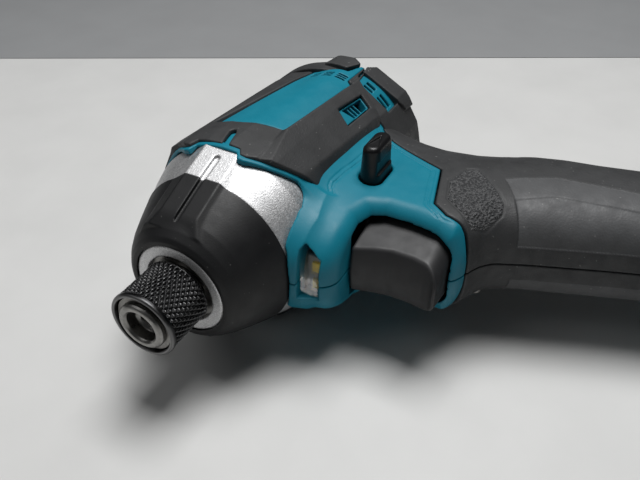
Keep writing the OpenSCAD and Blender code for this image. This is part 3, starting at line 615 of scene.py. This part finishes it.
looks = {
    "teal_plastic": teal_plastic(),
    "soft_rubber": soft_rubber(),
    "black_plastic": dark_plastic("black_plastic", (0.03, 0.03, 0.032), 0.42, 0.6),
    "cast_aluminium": metal("cast_aluminium", (0.56, 0.56, 0.565), 0.46, 0.6, 2600, 0.5, (0.82, 0.82, 0.825)),
    "bronze": metal("bronze", (0.45, 0.28, 0.1), 0.35, 0.5, 900, 0.2),
    "bright_steel": metal("bright_steel", (0.55, 0.55, 0.56), 0.18, 0.32, 700, 0.1),
    "dark_steel": metal("dark_steel", (0.2, 0.195, 0.185), 0.28, 0.42, 900, 0.15),
    "black_oxide": knurled_steel(),
    "core_steel": metal("core_steel", (0.1, 0.1, 0.105), 0.35, 0.55, 700, 0.2),
    "copper_wire": wire("copper_wire", (0.6, 0.25, 0.1), 900),
    "circuit_board": dark_plastic("circuit_board", (0.02, 0.12, 0.05), 0.3, 0.45),
    "trigger_plastic": dark_plastic(
        "trigger_plastic", (0.017, 0.017, 0.018), 0.44, 0.56, Specular_IOR_Level=0.4
    ),
    "gloss_black": dark_plastic("gloss_black", (0.004, 0.004, 0.0045), 0.3, 0.42, Specular_IOR_Level=0.35),
    "clear_lens": clear_lens(),
    "lamp_phosphor": dark_plastic("lamp_phosphor", (0.85, 0.6, 0.09), 0.3, 0.4),
    "terminal_plastic": dark_plastic("terminal_plastic", (0.4, 0.3, 0.02), 0.4, 0.55),
    "terminal_brass": metal("terminal_brass", (0.6, 0.48, 0.22), 0.2, 0.35, 800, 0.1),
}
bumper_rubber = satin_rubber()
patch_rubber = grip_patch()
panel_rubber = soft_rubber("panel_rubber", (0.055, 0.056, 0.058), 1500, 0.4)
dark_anvil = metal("dark_anvil", (0.24, 0.235, 0.225), 0.26, 0.4, 900, 0.12)
white_board = dark_plastic("white_board", (0.34, 0.34, 0.33), 0.4, 0.55)
# A near-black plastic: painted shade for the faces deep behind the vents
painted_vent_shade = dark_plastic("painted_vent_shade", (0.004, 0.005, 0.006), 0.6, 0.8)

slot_of = {p["node"]: p["material_slot"] for p in frame["record"]["subparts"]}
# The bush is shown in the anvil's dark steel instead of bronze: painted shade in the gap behind the sleeve
shown_as = {"anvil": dark_anvil, "anvil_bush": dark_anvil, "lamp_board": white_board}
for node, shown in frame["nodes"].items():
    shown.data.materials.clear()
    shown.data.materials.append(shown_as.get(node, looks[slot_of[node]]))


# Bit sleeve with a cut diamond knurl


def knurl(x, angle, low, high):
    """Height of the knurl's diamonds, 0 in the grooves and 1 on top, and how it fades at both ends."""
    starts, lead, steepness, fade_len = 38, 2.35, 2.6, 0.5
    across = angle * starts / (2 * math.pi)
    height = np.ones(np.broadcast(x, angle).shape)
    for lean in (-1, 1):
        phase = across + lean * x / lead
        height = np.minimum(height, steepness * np.abs(phase - np.round(phase)))
    fade = np.clip(np.minimum(x - low, high - x) / fade_len, 0, 1)
    return height, fade


def bit_sleeve():
    rings, sides = 150, 640
    depth, low, high = 0.55, 1.3, SLEEVE_LEN - 0.7
    x = np.linspace(low - 0.2, high + 0.2, rings).reshape(-1, 1)
    angle = np.linspace(0, 2 * math.pi, sides, endpoint=False).reshape(1, -1)
    height, fade = knurl(x, angle, low, high)
    r = SLEEVE_R - depth * (1 - height) * fade - 0.12 * fade
    bore, land, land_x = SLEEVE_R - 1.2, 7.4, SLEEVE_LEN - 6.3
    front = [(land_x, land), (land_x, bore), (0.3, bore), (0.02, bore + 0.28), (0.02, SLEEVE_R - 0.55),
             (0.14, SLEEVE_R - 0.22), (0.45, SLEEVE_R - 0.03), (low - 0.35, SLEEVE_R)]
    back = [(high + 0.35, SLEEVE_R - 0.04), (SLEEVE_LEN - 0.16, SLEEVE_R - 0.2),
            (SLEEVE_LEN, SLEEVE_R - 0.5), (SLEEVE_LEN, land + 1.0), (land_x + 3.4, land + 1.0),
            (land_x + 3.1, land), (land_x, land)]
    ring = np.ones((1, sides))
    rows = [(p * ring, q * ring) for p, q in front]
    rows += [(x[i] * ring, r[i : i + 1]) for i in range(rings)]
    rows += [(p * ring, q * ring) for p, q in back]
    xs = np.concatenate([p for p, _ in rows])
    rs = np.concatenate([q for _, q in rows])
    points = np.stack([xs, rs * np.cos(angle), rs * np.sin(angle)], -1).reshape(-1, 3)
    return mesh_object("knurled_sleeve", points, [ring_quads(len(rows), sides)[:, ::-1]])


dress(bit_sleeve(), looks["black_oxide"], "sleeve", "black_oxide", "bit_sleeve")

# Anvil with its round mouth, hexagon, ball holes and lugs


def anvil():
    low, high = span("anvil")
    tip, end, lug_r, lug_half_w = low[0], high[0], high[1], 5
    nose_r, shoulder_r, shoulder_x, lug_x = ANVIL_R, ANVIL_R + 2.4, end - 11, end - 7
    g = Grid((tip - 1, -lug_r - 1, -shoulder_r - 1), (end + 1, lug_r + 1, shoulder_r + 1), 0.18)
    body = turned(g, [
        (tip, 0), (tip, nose_r - 0.9), (tip + 0.25, nose_r - 0.4), (tip + 0.8, nose_r), (CLIP_X, nose_r),
        (CLIP_X, nose_r - 0.6), (CLIP_X + 1.1, nose_r - 0.6), (CLIP_X + 1.1, nose_r), (shoulder_x, nose_r),
        (shoulder_x, shoulder_r), (end, shoulder_r), (end, 0),
    ])
    lugs = both(g.r - lug_r, np.maximum(np.abs(g.z) - lug_half_w, np.maximum(lug_x - g.x, g.x - end)), 0.4)
    body = joined(body, lugs, 0.6)
    mouth = turned(g, [
        (tip - 2, 0), (tip - 2, 7), (tip + 0.7, 4.6), (tip + 3.6, 4.4), (tip + 4.6, 3.2), (tip + 4.6, 0),
    ])
    sides = [np.abs(g.y * math.cos(a) + g.z * math.sin(a)) for a in np.radians([0, 60, 120])]
    hexagon = np.maximum(np.maximum(sides[0], sides[1]), sides[2]) - HEX_FLATS / 2
    body = cut(body, mouth, 0.12)
    body = cut(body, np.maximum(hexagon, g.x - tip - 26), 0.12)
    body = cut(body, np.maximum(g.r - 3.65, end - 6.4 - g.x), 0.2)
    balls = np.maximum(np.hypot(g.x - SLEEVE_LEN + 4.7, g.y) - 1.85, 2.9 - np.abs(g.z))
    return solid("anvil_forging", g, cut(body, balls, 0.1))


dress(anvil(), dark_anvil, "anvil", "dark_steel", "anvil")

# Springs


def coil(name, node, wire_r, turns):
    """A round wire wound about the drive axis, inside the outside of a CAD node."""
    low, high = span(node)
    mean_r = high[1] - wire_r - 0.05
    sides, steps = 12, int(48 * turns)
    part = np.linspace(0, 1, steps + 1).reshape(-1, 1)
    ring = np.linspace(0, 2 * math.pi, sides, endpoint=False).reshape(1, -1)
    x = low[0] + wire_r + part * (high[0] - low[0] - 2 * wire_r) + wire_r * np.sin(ring)
    r = mean_r + wire_r * np.cos(ring) + 0 * part
    turn = 2 * math.pi * turns * part + 0 * ring
    points = np.stack([x, r * np.cos(turn), r * np.sin(turn)], -1).reshape(-1, 3)
    ends = np.stack([np.arange(sides), steps * sides + np.arange(sides)[::-1]])
    return mesh_object(name, points, [ring_quads(steps + 1, sides), ends])


def shortened(piece):
    """Gives a spring its own copy of its mesh."""
    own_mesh(piece)


spring = coil("hammer_spring_coil", "hammer_spring", 1.5, 3.5)
dress(spring, looks["bright_steel"], "carrier", "bright_steel", "hammer_spring")
shortened(spring)
spring = coil("sleeve_spring_coil", "sleeve_spring", 0.42, 4.5)
dress(spring, looks["bright_steel"], "anvil", "bright_steel", "sleeve_spring")
shortened(spring)

# Hammer case with its side saddle, and the rubber bumper over it

BUMPER_END_X = CASE_X + 17.3
CASE_OUTLINE = [
    (CASE_X, SLEEVE_R + 0.7), (CASE_X, 13.6), (CASE_X + 0.35, 13.9), (CASE_X + 1.2, 14.9),
    (CASE_X + 5.5, 18), (CASE_X + 10.2, 20.2), (CASE_X + 17.4, 22.9), (CASE_X + 17.6, 24.5),
    (CASE_X + 22.7, 26.8), (CASE_X + 27.5, CASE_R), (CASE_X + 33.5, CASE_R),
    (CASE_X + 33.5, CASE_R - 2.2), (CASE_END_X, CASE_R - 2.2), (CASE_END_X, CASE_R - 4),
    (CASE_END_X - 3, 20.7), (39.6, 20.7), (32, 18.6), (28.9, 17), (27.9, 11.05),
    (CASE_X + 1.7, 11.05), (CASE_X + 1.7, SLEEVE_R + 0.7),
]
BUMPER_OUTLINE = [
    (CASE_X - 0.2, 14.1), (CASE_X - 0.2, 15.4), (CASE_X + 0.5, 16.6), (CASE_X + 2.4, 18.2),
    (CASE_X + 5.5, 20.0), (CASE_X + 10.2, 22.1), (CASE_X + 15.6, 24.3), (CASE_X + 17.3, 25.0),
    (CASE_X + 17.3, 22.9), (CASE_X + 10.2, 20.3), (CASE_X + 5.5, 18.1), (CASE_X + 1.2, 15.0),
    (CASE_X + 0.2, 14.1),
]


def flat_top(g, at, height, slope):
    """Height over a flat that slopes with X and falls away beside its edges."""
    beside = np.maximum(0, np.abs(g.y - FLAT_Y) - FLAT_HALF_W)
    fall = 0.75 * beside + np.maximum(0, beside - 4)
    return (np.abs(g.z) - height - slope * (g.x - at) + fall) * 0.8


def side_groove(g, first, last, half_w, depth_at):
    """A straight groove along the middle of each side, with a round front end."""
    beyond = np.maximum(first - g.x, g.x - last)
    across = np.hypot(np.maximum(beyond, 0), g.y - FLAT_Y) - half_w
    return np.maximum(across, depth_at - np.abs(g.z))


def hammer_case():
    g = Grid((CASE_X - 1, -30, -30), (CASE_END_X + 1, 30, 30), 0.3)
    body = turned(g, CASE_OUTLINE)
    saddle = flat_top(g, SADDLE_X, SADDLE_H, SADDLE_SLOPE)
    ends = np.maximum(BUMPER_END_X - 0.1 - g.x, -edge_by_angle(g, RIM) - 0.4)
    saddle = np.maximum(saddle, np.maximum(ends, g.x - RIM_X - 1))
    body = joined(body, np.maximum(saddle, 20 - np.abs(g.z)), 0.25)
    groove_z = SADDLE_H - SADDLE_GROOVE + SADDLE_SLOPE * (g.x - SADDLE_X)
    body = cut(body, side_groove(g, 20, RIM_X - 3.4, 0.85, groove_z), 0.2)
    inner = turned(g, [(CASE_X + 5, 0), (CASE_X + 5, 20.7), (CASE_END_X + 2, 20.7), (CASE_END_X + 2, 0)])
    return solid("hammer_case_casting", g, np.maximum(body, -np.where(g.x > 36, inner, 1)))


def nose_bumper():
    g = Grid((CASE_X - 1, -28, -29), (CASE_X + 20, 28, 29), 0.28)
    body = turned(g, BUMPER_OUTLINE)
    top = flat_top(g, PAD_X, PAD_H, PAD_SLOPE)
    bevel = np.maximum(18.2 - g.x, (18.6 - g.x + 1.1 * (np.abs(g.z) - 18)) * 0.67)
    pad = both(top, np.maximum(bevel, g.x - BUMPER_END_X), 0.35)
    under = turned(g, [(10, 0), (10, 14)] + CASE_OUTLINE[1:7] + [(BUMPER_END_X, 24), (BUMPER_END_X, 0)])
    body = joined(body, np.maximum(pad, 13 - np.abs(g.z)), 0.2)
    groove_z = PAD_H - PAD_GROOVE + PAD_SLOPE * (g.x - PAD_X)
    body = cut(body, side_groove(g, 21, 60, 0.65, groove_z), 0.15)
    return solid("bumper_moulding", g, np.maximum(body, 0.05 - under))


dress(hammer_case(), looks["cast_aluminium"], "tool", "cast_aluminium", "hammer_case")
dress(nose_bumper(), bumper_rubber, "tool", "soft_rubber", "nose_bumper")

# Housing: the motor tube, the chin and the neck with the trigger's window


def upper_part(turn):
    """One on the upper part of the motor housing, easing to zero below its middle."""
    return eased((102 - turn) / 24)


def rear_fall(x):
    """How far the sides have fallen near the rear."""
    return np.maximum(0, (x - 92) * 0.05)


def taper(g):
    """How far the upper part of the motor housing has sunk at each place.

    The rail along the seam at the top, where the screws sit, sinks only behind them.
    """
    beside_rail = eased((g.turn - g.rail) / 14)
    on_rail = RAIL_FALL * np.clip(g.x - RAIL_FALL_X, 0, RAIL_FALL_LEN)
    sunk = np.clip(g.x - TAPER_FROM_X, 0, TAPER_LEN) * beside_rail + on_rail * (1 - beside_rail)
    return TAPER * sunk * upper_part(g.turn)


def section(g, inset):
    """The slightly faceted outside of the rubber, as a field across the tool."""
    ridges = [
        (0, 30.4), (22, 31.2), (42, 31.9), (62, 31.8), (76, 31.0), (90, 30.8), (107.5, 31.3), (138, 31.7),
        (143, 31.6), (160, 31.2), (180, 31.2),
    ]
    corners = [(r * math.cos(math.radians(a)), r * math.sin(math.radians(a))) for a, r in ridges]
    corners += [(y, -z) for y, z in corners[-2:0:-1]]
    return polygon(g.y, g.z, corners) + taper(g) + inset


def case_room(g, gap):
    """The hammer case with a gap round it."""
    outline = [(10, 0), (10, 16)] + CASE_OUTLINE[3:10] + [(CASE_X + 36, CASE_R), (CASE_X + 36, 0)]
    return turned(g, outline) - gap


def bumper_room(g, gap):
    """The bumper with a gap round it."""
    return turned(g, [(5, 0)] + BUMPER_OUTLINE[1:9] + [(CASE_X + 17.3, 0)]) - gap


def screw_bores(g, body):
    """Cuts the counterbores of the screws into a half, as seen from its own side."""
    for x, y, seat in SCREWS:
        body = cut(body, np.maximum(np.hypot(g.x - x, g.y - y) - SCREW_BORE_R, seat - g.z), 0.35)
    return body


def lamp_outline(g, gap, low, high):
    """Distance to the lamp's outline in the chin, seen from the front and between two heights."""
    top, bottom, end = LENS_HIGH[1] + 0.1 + gap, LENS_LOW[1] + 1.5 - gap, LENS_HIGH[2] + gap
    outline = polygon(g.y, g.z, [
        (top, -30), (top, end), (top - 0.9, end + 1.5), (bottom, end - 2.4), (bottom, -30),
    ])
    return np.maximum(outline, np.maximum(low - g.z, g.z - high))


def housing(screws):
    g = Grid((27, -72, -0.9), (113, 31, 32.4), 0.3)
    g.rail = RIGHT_RAIL if screws else LEFT_RAIL
    neck_outline = polygon(g.x, g.y, NECK)
    rim = edge_by_angle(g, RIM)
    behind = -edge_by_angle(g, COVER_EDGE)
    shell = g.r - SHELL_R + taper(g)
    tube = both(both(shell, rim, 0.6), behind, 0.4)
    tube = np.minimum(tube, both(both(g.r - SHELL_R - 0.8, rim, 0.6), -rim - 2.6, 0.5))
    panel = g.r - RUBBER_R + (PANEL_INSET + rear_fall(g.x)) + taper(g)
    panel = both(both(panel, wrapped(g, PANEL, RUBBER_R) + 0.15, 0.3), behind, 0.4)
    vent_plate = both(section(g, 0.4), wrapped(g, VENT, RUBBER_R) + 0.15, 0.3)
    notch = both(section(g, 1.2), wrapped(g, NOTCH, RUBBER_R), 0.2)
    cover_plate = np.maximum(np.abs(g.r - 28.3) - 0.75, wrapped(g, COVER_VENT, RUBBER_R) - 0.8)
    tube = np.minimum(np.minimum(tube, panel), np.minimum(vent_plate, notch))
    field = grip_field(g)
    front, rear, half_w = grip_spans(g.y)
    lip = np.where(g.y < -58, (front + 0.045 * g.z**2 - g.x) * 0.7, -9)
    neck = both(both(field, lip, 1.0), neck_outline, 0.5)
    below = g.y - along(CHIN_TOP, g.x).astype(np.float32)
    neck = both(neck, below, 0.9)
    flange = both(np.maximum(case_room(g, 3.0), field), below, 0.7)
    neck = joined(neck, np.maximum(flange, g.x - 50), 3.2)
    lines = groove(neck_outline + 1.5, 0.24, 0.3) + groove(neck_outline + 2.4, 0.24, 0.3)
    neck = neck + lines * (g.x > 58)
    body = joined(tube, neck, 2.4)
    below_rubber = (g.turn - along(RUBBER_LOW, g.x)) * RUBBER_ARC
    lines = groove(below_rubber - 1.3, 0.24, 0.3) + groove(below_rubber - 2.3, 0.24, 0.3)
    body = body + lines * ((g.x > 53) & (g.x < 95) & (g.r > 25))
    body = cut(body, polygon(g.x, g.y, WINDOW), 4.2)
    body = cut(body, case_room(g, 0.3), 0.5)
    body = cut(body, bumper_room(g, 0.5), 0.5)
    # Room for the lamp, the lever and what is inside
    low, high = (-30, LAMP_END) if screws else (-LAMP_END, 30)
    recess = lamp_outline(g, 0.2, low, high)
    body = cut(body, np.maximum(recess, g.x - LENS_HIGH[0] - 0.3), 0.45)
    slot = polygon(g.x, g.y, lever_outline(0.45))
    body = cut(body, np.maximum(slot, -g.z), 0.7)
    body = np.maximum(body, -both(shell + 2.6, 44 - g.x))
    for x, y, _ in SCREWS[:2]:
        boss = np.hypot(g.x - x, g.y - y) - BOSS_R
        body = np.minimum(body, np.maximum(boss, shell + 0.3))
        if screws:
            body = joined(body, both(boss, g.z - BOSS_TOP, 0.6), 0.8)
    inner = oblong(g.x - (front + rear) / 2, g.z, (rear - front) / 2 - 4, half_w - 3.6)
    body = np.maximum(body, -np.maximum(np.maximum(inner, g.y + 8), 46 - g.x))
    body = np.minimum(body, cover_plate)
    opening = np.maximum(wrapped(g, VENT_OPENING, RUBBER_R), 24 - g.r)
    bars = np.minimum.reduce([np.abs(g.x - x) for x in VENT_BARS]) - 0.28
    bars = np.maximum(np.maximum(bars, section(g, 1.2)), 27 - g.r)
    body = np.minimum(cut(body, opening, 0.15), np.maximum(bars, opening - 0.3))
    for middle in PANEL_SLOT_TURNS:
        for x in PANEL_SLOT_PLACES:
            slot = np.maximum(np.abs(g.turn - middle) * RUBBER_ARC - 1.85, np.abs(g.x - x) - 0.46)
            body = cut(body, np.maximum(slot, 24.2 - g.r), 0.1)
    for first, last in COVER_SLOT_TURNS:
        across = (np.abs(g.turn - (first + last) / 2) - (last - first) / 2) * COVER_ARC
        for x, slot_half_w in COVER_SLOT_PLACES:
            slot = np.maximum(across, np.abs(g.x - x) - slot_half_w)
            body = cut(body, np.maximum(slot, 25 - g.r), 0.1)
    body = both(body, SEAM_GAP - g.z, 0.25)
    if screws:
        body = screw_bores(g, body)
    return solid("housing_moulding", g, body)


def lever_outline(gap):
    """The lever's rounded oblong, seen from the side."""
    middle = (LEVER_LOW + LEVER_HIGH) / 2
    r = (LEVER_HIGH[1] - LEVER_LOW[1]) / 2
    reach = (LEVER_HIGH[0] - LEVER_LOW[0]) / 2 - r
    outline = []
    for a in np.radians(np.linspace(-90, 270, 49)[:-1]):
        end = middle[0] + math.copysign(reach, math.cos(a) + 1e-9)
        outline.append((end + (r + gap) * math.cos(a), middle[1] + (r + gap) * math.sin(a)))
    return outline


def paint_vent_shade(piece):
    """Gives what lies deep behind the vents a near-black material, as painted shade."""
    x, y, z = face_centres(piece.data)
    r = np.hypot(y, z)
    turn = np.degrees(np.arctan2(np.abs(z), y))
    sunk = TAPER * (x - TAPER_FROM_X) * upper_part(turn)
    panel_r = RUBBER_R - PANEL_INSET - rear_fall(x) - sunk
    deep = np.zeros(len(x), bool)
    for (first, last, low, high), top in zip(DEEP_ROOMS, (SHELL_R - 1.4, panel_r - 0.7, SHELL_R - 0.9)):
        deep |= (x > first) & (x < last) & (turn > low) & (turn < high) & (r < top)
    # Painted shade: the deep faces behind the vents get the near-black material
    piece.data.materials.append(painted_vent_shade)
    piece.data.polygons.foreach_set("material_index", deep.astype(np.int32))


for piece in halves("housing", housing, "teal_plastic"):
    paint_vent_shade(piece)

# Rubber over the motor housing


def motor_rubber(screws):
    g = Grid((38, -28, -0.5), (113, 32, 33), 0.28)
    g.rail = RIGHT_RAIL if screws else LEFT_RAIL
    front = edge_by_angle(g, [(a, x + 1.4) for a, x in RIM[:-2]] + [(131, 49.2), (143.4, 52.8), (180, 54)])
    back = -edge_by_angle(g, [(a, x - 0.6) for a, x in COVER_EDGE])
    outer = section(g, np.maximum(0, (52 - g.x) * 0.05) + rear_fall(g.x))
    # The crest below the panel, which starts with a slant behind the rim
    low, high = along(CREST_LOW, g.x), along(CREST_HIGH, g.x)
    crest = np.clip((g.turn - low) / (high - low), 0, 1) * np.clip((141 - g.turn) / 24, 0, 1)
    outer = outer - along(CREST_RISE, g.x) * crest
    bevel_start = 130 + (g.x - 53) * 0.19
    low_edge = along(RUBBER_LOW, g.x)
    bevel = g.r - (29.5 + 2.1 * np.clip((low_edge - g.turn) / (low_edge - bevel_start), -1, 3))
    body = both(both(outer, bevel * 0.85, 0.25), 29.06 - taper(g) - g.r)
    ends = both(front, back, 0.6)
    sides = both((21 - g.turn) * RUBBER_ARC, (g.turn - low_edge) * RUBBER_ARC, 0.3)
    body = both(body, both(ends, sides, 0.3), 0.45)
    for hole in (PANEL, NOTCH, VENT):
        body = cut(body, wrapped(g, hole, RUBBER_R) - 0.05, 0.35)
    if screws:
        body = screw_bores(g, body)
    return solid("motor_rubber_skin", g, body)


halves("motor_rubber", motor_rubber, "soft_rubber")

# Rear cover


def rear_cover():
    g = Grid((93, -31, -31), (TOOL_LEN + 1, 31, 31), 0.3)
    profile = [
        (90, 27.4), (90, 28.4), (109, 27.8), (113, 26.4), (118, 24.2), (TOOL_LEN - 4, 22),
        (TOOL_LEN - 1.4, 20), (TOOL_LEN, 17.4), (TOOL_LEN, 0), (TOOL_LEN - 2.6, 0), (TOOL_LEN - 2.6, 16),
        (TOOL_LEN - 6, 19.6), (117, 21.6), (112, 24), (109, 25.4),
    ]
    body = turned(g, profile) - 0.4
    collar = [(90, 111), (90, 190), (117.6, 190), (117.2, 168), (115.8, 150), (114.4, 113.6), (111, 111)]
    collar = both(section(g, 1.2), wrapped(g, collar, RUBBER_R), 0.6)
    body = joined(body, np.maximum(collar, 27 - g.r), 0.5)
    for block in COVER_BLOCKS:
        raised = both(section(g, 0.35 - 0.6 * taper(g)), wrapped(g, block, RUBBER_R), 0.35)
        body = joined(body, np.maximum(raised, 26 - g.r), 0.25)
    body = both(body, edge_by_angle(g, COVER_EDGE), 0.4)
    body = cut(body, np.maximum(wrapped(g, COVER_VENT, RUBBER_R), 25 - g.r), 0.3)
    ribs = np.abs((g.turn + 7.5) % 15 - 7.5) * CAP_ARC - 0.45
    body = body + 0.35 * np.clip(-ribs / 0.3, 0, 1) * ((g.x > 117.5) & (g.x < 122))
    end = g.x - TOOL_LEN
    body = body + groove(g.r - 14.5, 0.4, 0.45) * (end > -2)
    recess = both(g.r - 9.5, np.abs(end) - 0.7, 0.4)
    body = cut(body, recess, 0.4)
    slots = np.maximum(np.abs((g.turn + 4) % 8 - 4) * CAP_ARC - 0.75, np.abs(g.x - 113.6) - 2.3)
    slots = np.maximum(slots, np.maximum(g.turn - 62, 26 - 0.45 * (g.x - 113.6) - g.r))
    return solid("rear_cover_moulding", g, cut(body, slots, 0.2))


dress(rear_cover(), looks["soft_rubber"], "tool", "black_plastic", "rear_cover")

# Grip rubber with its seam, patch and side panels


def grip_rubber(screws):
    g = Grid((50, -153, -0.6), (134, -14, 24), 0.32)
    field = grip_field(g)
    neck_outline = polygon(g.x, g.y, NECK)
    body = both(field, 0.45 - neck_outline, 0.45)
    body = np.maximum(body, -(field + 3.0))
    side = g.z > GRIP_SIDE_Z
    panel = polygon(g.x, g.y, GRIP_PANEL)
    band = polygon(g.x, g.y, GRIP_BAND)
    body = body + 0.4 * np.clip(0.5 - panel / 0.5, 0, 1) * side
    body = body - 0.28 * np.clip(0.5 - band / 0.5, 0, 1) * side
    patch = polygon(g.x, g.y, GRIP_PATCH)
    body = body + (groove(patch, 0.3, 0.3) - 0.12 * np.clip(-patch / 0.4, 0, 1)) * side
    body = cut(body, g.r - np.where(g.x < CAP_X, RUBBER_R - 1.6, 29.6), 0.5)
    body = np.maximum(body, g.y + 16)
    body = both(body, -(g.y + 149.5), 0.4)
    body = both(body, SEAM_GAP - g.z, 0.3)
    if screws:
        body = screw_bores(g, body)
    return solid("grip_rubber_skin", g, body)


def paint_faces(piece, outlines):
    """Gives the faces inside side outlines the piece's later materials."""
    x, y, z = face_centres(piece.data)
    chosen = np.zeros(len(x), np.int32)
    for i, outline in enumerate(outlines):
        chosen[(polygon(x, y, outline) < -0.15) & (np.abs(z) > GRIP_SIDE_Z)] = i + 1
    piece.data.polygons.foreach_set("material_index", chosen)


for piece in halves("grip_rubber", grip_rubber, "soft_rubber"):
    piece.data.materials.append(patch_rubber)
    piece.data.materials.append(panel_rubber)
    paint_faces(piece, [GRIP_PATCH, GRIP_PANEL])

# Trigger and reverse lever


def trigger():
    g = Grid((TRIGGER_LOW[0] - 3, -64, -14), (74, -35, 14), 0.25)
    front = along(TRIGGER_FRONT, g.y).astype(np.float32)
    ease = np.hanning(int(9 / COARSE))
    front = np.convolve(np.pad(front.ravel(), len(ease) // 2, mode="edge"), ease / ease.sum(), "same")
    front = front[len(ease) // 2 : len(ease) // 2 + g.y.size].reshape(1, -1, 1)
    face = (front + 1.6 * (g.z / 8) ** 2 - g.x) * 0.95
    half_w = np.clip(7.9 + 0.24 * (g.x - 46), 6, 11)
    sides = both(both(np.abs(g.z) - half_w, -62.3 - g.y, 5), g.y + 37.3, 0.6)
    body = both(np.maximum(face, g.x - 63), sides, 0.8)
    stem = np.maximum(np.hypot(g.y + 50, g.z) - 3, np.maximum(60 - g.x, g.x - TRIGGER_HIGH[0]))
    return solid("trigger_moulding", g, np.minimum(body, stem))


def reverse_lever():
    g = Grid(LEVER_LOW - 1, LEVER_HIGH + 1, 0.2)
    side = polygon(g.x, g.y, lever_outline(0))
    lean = np.maximum(0, (g.z - 18) * 0.06)
    body = both(side + lean, np.maximum(LEVER_LOW[2] - g.z, g.z - LEVER_HIGH[2]), 1.5)
    arrow = polygon(g.x, g.y, [(66.2, -31.6), (66.2, -34.8), (71.6, -33.2)])
    body = cut(body, np.maximum(arrow, np.abs(LEVER_HIGH[2] - g.z) - 0.5), 0.2)
    step = box(g, (60, -36.5, 19.5), (80, -35.6, 23.5))
    return solid("reverse_lever_moulding", g, cut(body, step, 0.2))


def lamp_lens():
    """A clear window with thin walls, solid at its upper end."""
    low = (31, LENS_LOW[1] - 1, -LAMP_END - 1)
    high = (LENS_BACK_X + 1, LENS_HIGH[1] + 2, LENS_HIGH[2] + 3)
    g = Grid(low, high, 0.12)
    outline = lamp_outline(g, 0, -LAMP_END + 0.3, 30)
    field = grip_field(g)
    body = both(outline, np.maximum(field + 0.8, g.x - LENS_BACK_X), 0.35)
    walls = lamp_outline(g, -0.9, -30, LENS_HIGH[2] - 2.4)
    hollow = np.maximum(walls, field + 2.0)
    return solid("lamp_lens_moulding", g, cut(body, hollow, 0.2))


dress(lamp_lens(), looks["clear_lens"], "tool", "clear_lens", "lamp_lens")
dress(trigger(), looks["trigger_plastic"], "trigger", "trigger_plastic", "trigger")
dress(reverse_lever(), looks["gloss_black"], "lever", "gloss_black", "reverse_lever")

# Foot with its battery bay


def foot(screws):
    g = Grid((68, FOOT_LOW - 1, -0.6), (FOOT_BACK + 1, -146, RUBBER_R + 1), 0.36)
    side = polygon(g.x, g.y, FOOT_SIDE)
    plan = np.hypot(np.maximum(np.abs(g.x - 104.75) - 23.75, 0), np.maximum(g.z - 20.2, 0)) - 11
    body = both(side, plan, 2.2)
    body = body + groove(np.abs(g.y + 156.5), 0.35, 0.45) * (g.z > 5)
    bay = box(g, (60, -180, -60), (127.5, -160.8, 25), 0.5)
    rails = box(g, (73, -169.9, 21), (128.5, -166.8, 27), 0.4)
    body = np.minimum(cut(body, bay, 0.5), np.maximum(rails, body - 3))
    hollow = np.maximum(np.abs(g.y + 155.2) - 4, plan + 2.8)
    body = np.maximum(body, -hollow)
    body = cut(body, np.maximum(np.hypot(g.x - HOOK_X, g.y - HOOK_Y) - HOOK_R, 24 - g.z), 0.4)
    body = both(body, SEAM_GAP - g.z, 0.3)
    if screws:
        body = screw_bores(g, body)
    return solid("foot_moulding", g, body)


halves("foot", foot, "teal_plastic")

# Floor, light and camera


def plain(name, colour, roughness):
    s = Shader(name, colour, roughness)
    s.tint(s.ramp(s.noise(30), 0.35, 0.75), tuple(c * 0.94 for c in colour))
    return s.bump(s.noise(500), 0.03, 0.0002).material


def sheet(name, corners, height, material):
    mesh = bpy.data.meshes.new(name)
    mesh.from_pydata([Vector((x, y, height)) * MM for x, y in corners], [], [(0, 1, 2, 3)])
    mesh.materials.append(material)
    placed(name, mesh)


def lamp(name, place, size, watts):
    data = bpy.data.lights.new(name, "AREA")
    data.shape = "RECTANGLE"
    data.size, data.size_y = (s * MM for s in size)
    data.energy = watts
    made = placed(name, data)
    made.location = Vector(place) * MM
    made.rotation_euler = (Vector(LAMP_TARGET) - Vector(place)).to_track_quat("-Z", "Y").to_euler()


def camera():
    data = bpy.data.cameras.new("photo_camera")
    data.sensor_width = SENSOR_W
    data.lens = FOCAL_PART * SENSOR_W
    data.clip_start = 0.005
    back = -CAMERA_AHEAD.normalized()
    right = (CAMERA_RIGHT - CAMERA_RIGHT.dot(back) * back).normalized()
    up = back.cross(right)
    turn = Matrix((right, up, back)).transposed().to_4x4()
    made = placed("photo_camera", data)
    made.matrix_world = Matrix.Translation(CAMERA_PLACE * MM) @ turn
    bpy.context.scene.camera = made


floor_corners = [(a * FLOOR_REACH, b * FLOOR_REACH) for a, b in ((-1, -1), (1, -1), (1, 1), (-1, 1))]
sheet("floor", floor_corners, FLOOR_Z, plain("pale_floor", (0.62, 0.62, 0.61), 0.55))
sheet("grey_floor", GREY_CORNERS, GREY_Z, plain("grey_floor", (0.27, 0.275, 0.28), 0.6))
lamp("ceiling", (190, -40, 760), (380, 380), 6.8)
lamp("window", (-220, 320, 520), (500, 400), 0.5)
world = bpy.data.worlds.new("room")
world.use_nodes = True
background = world.node_tree.nodes["Background"]
background.inputs["Color"].default_value = (0.56, 0.58, 0.6, 1)
background.inputs["Strength"].default_value = 0.08
bpy.context.scene.world = world
bpy.context.scene.view_settings.view_transform = "Standard"
camera()
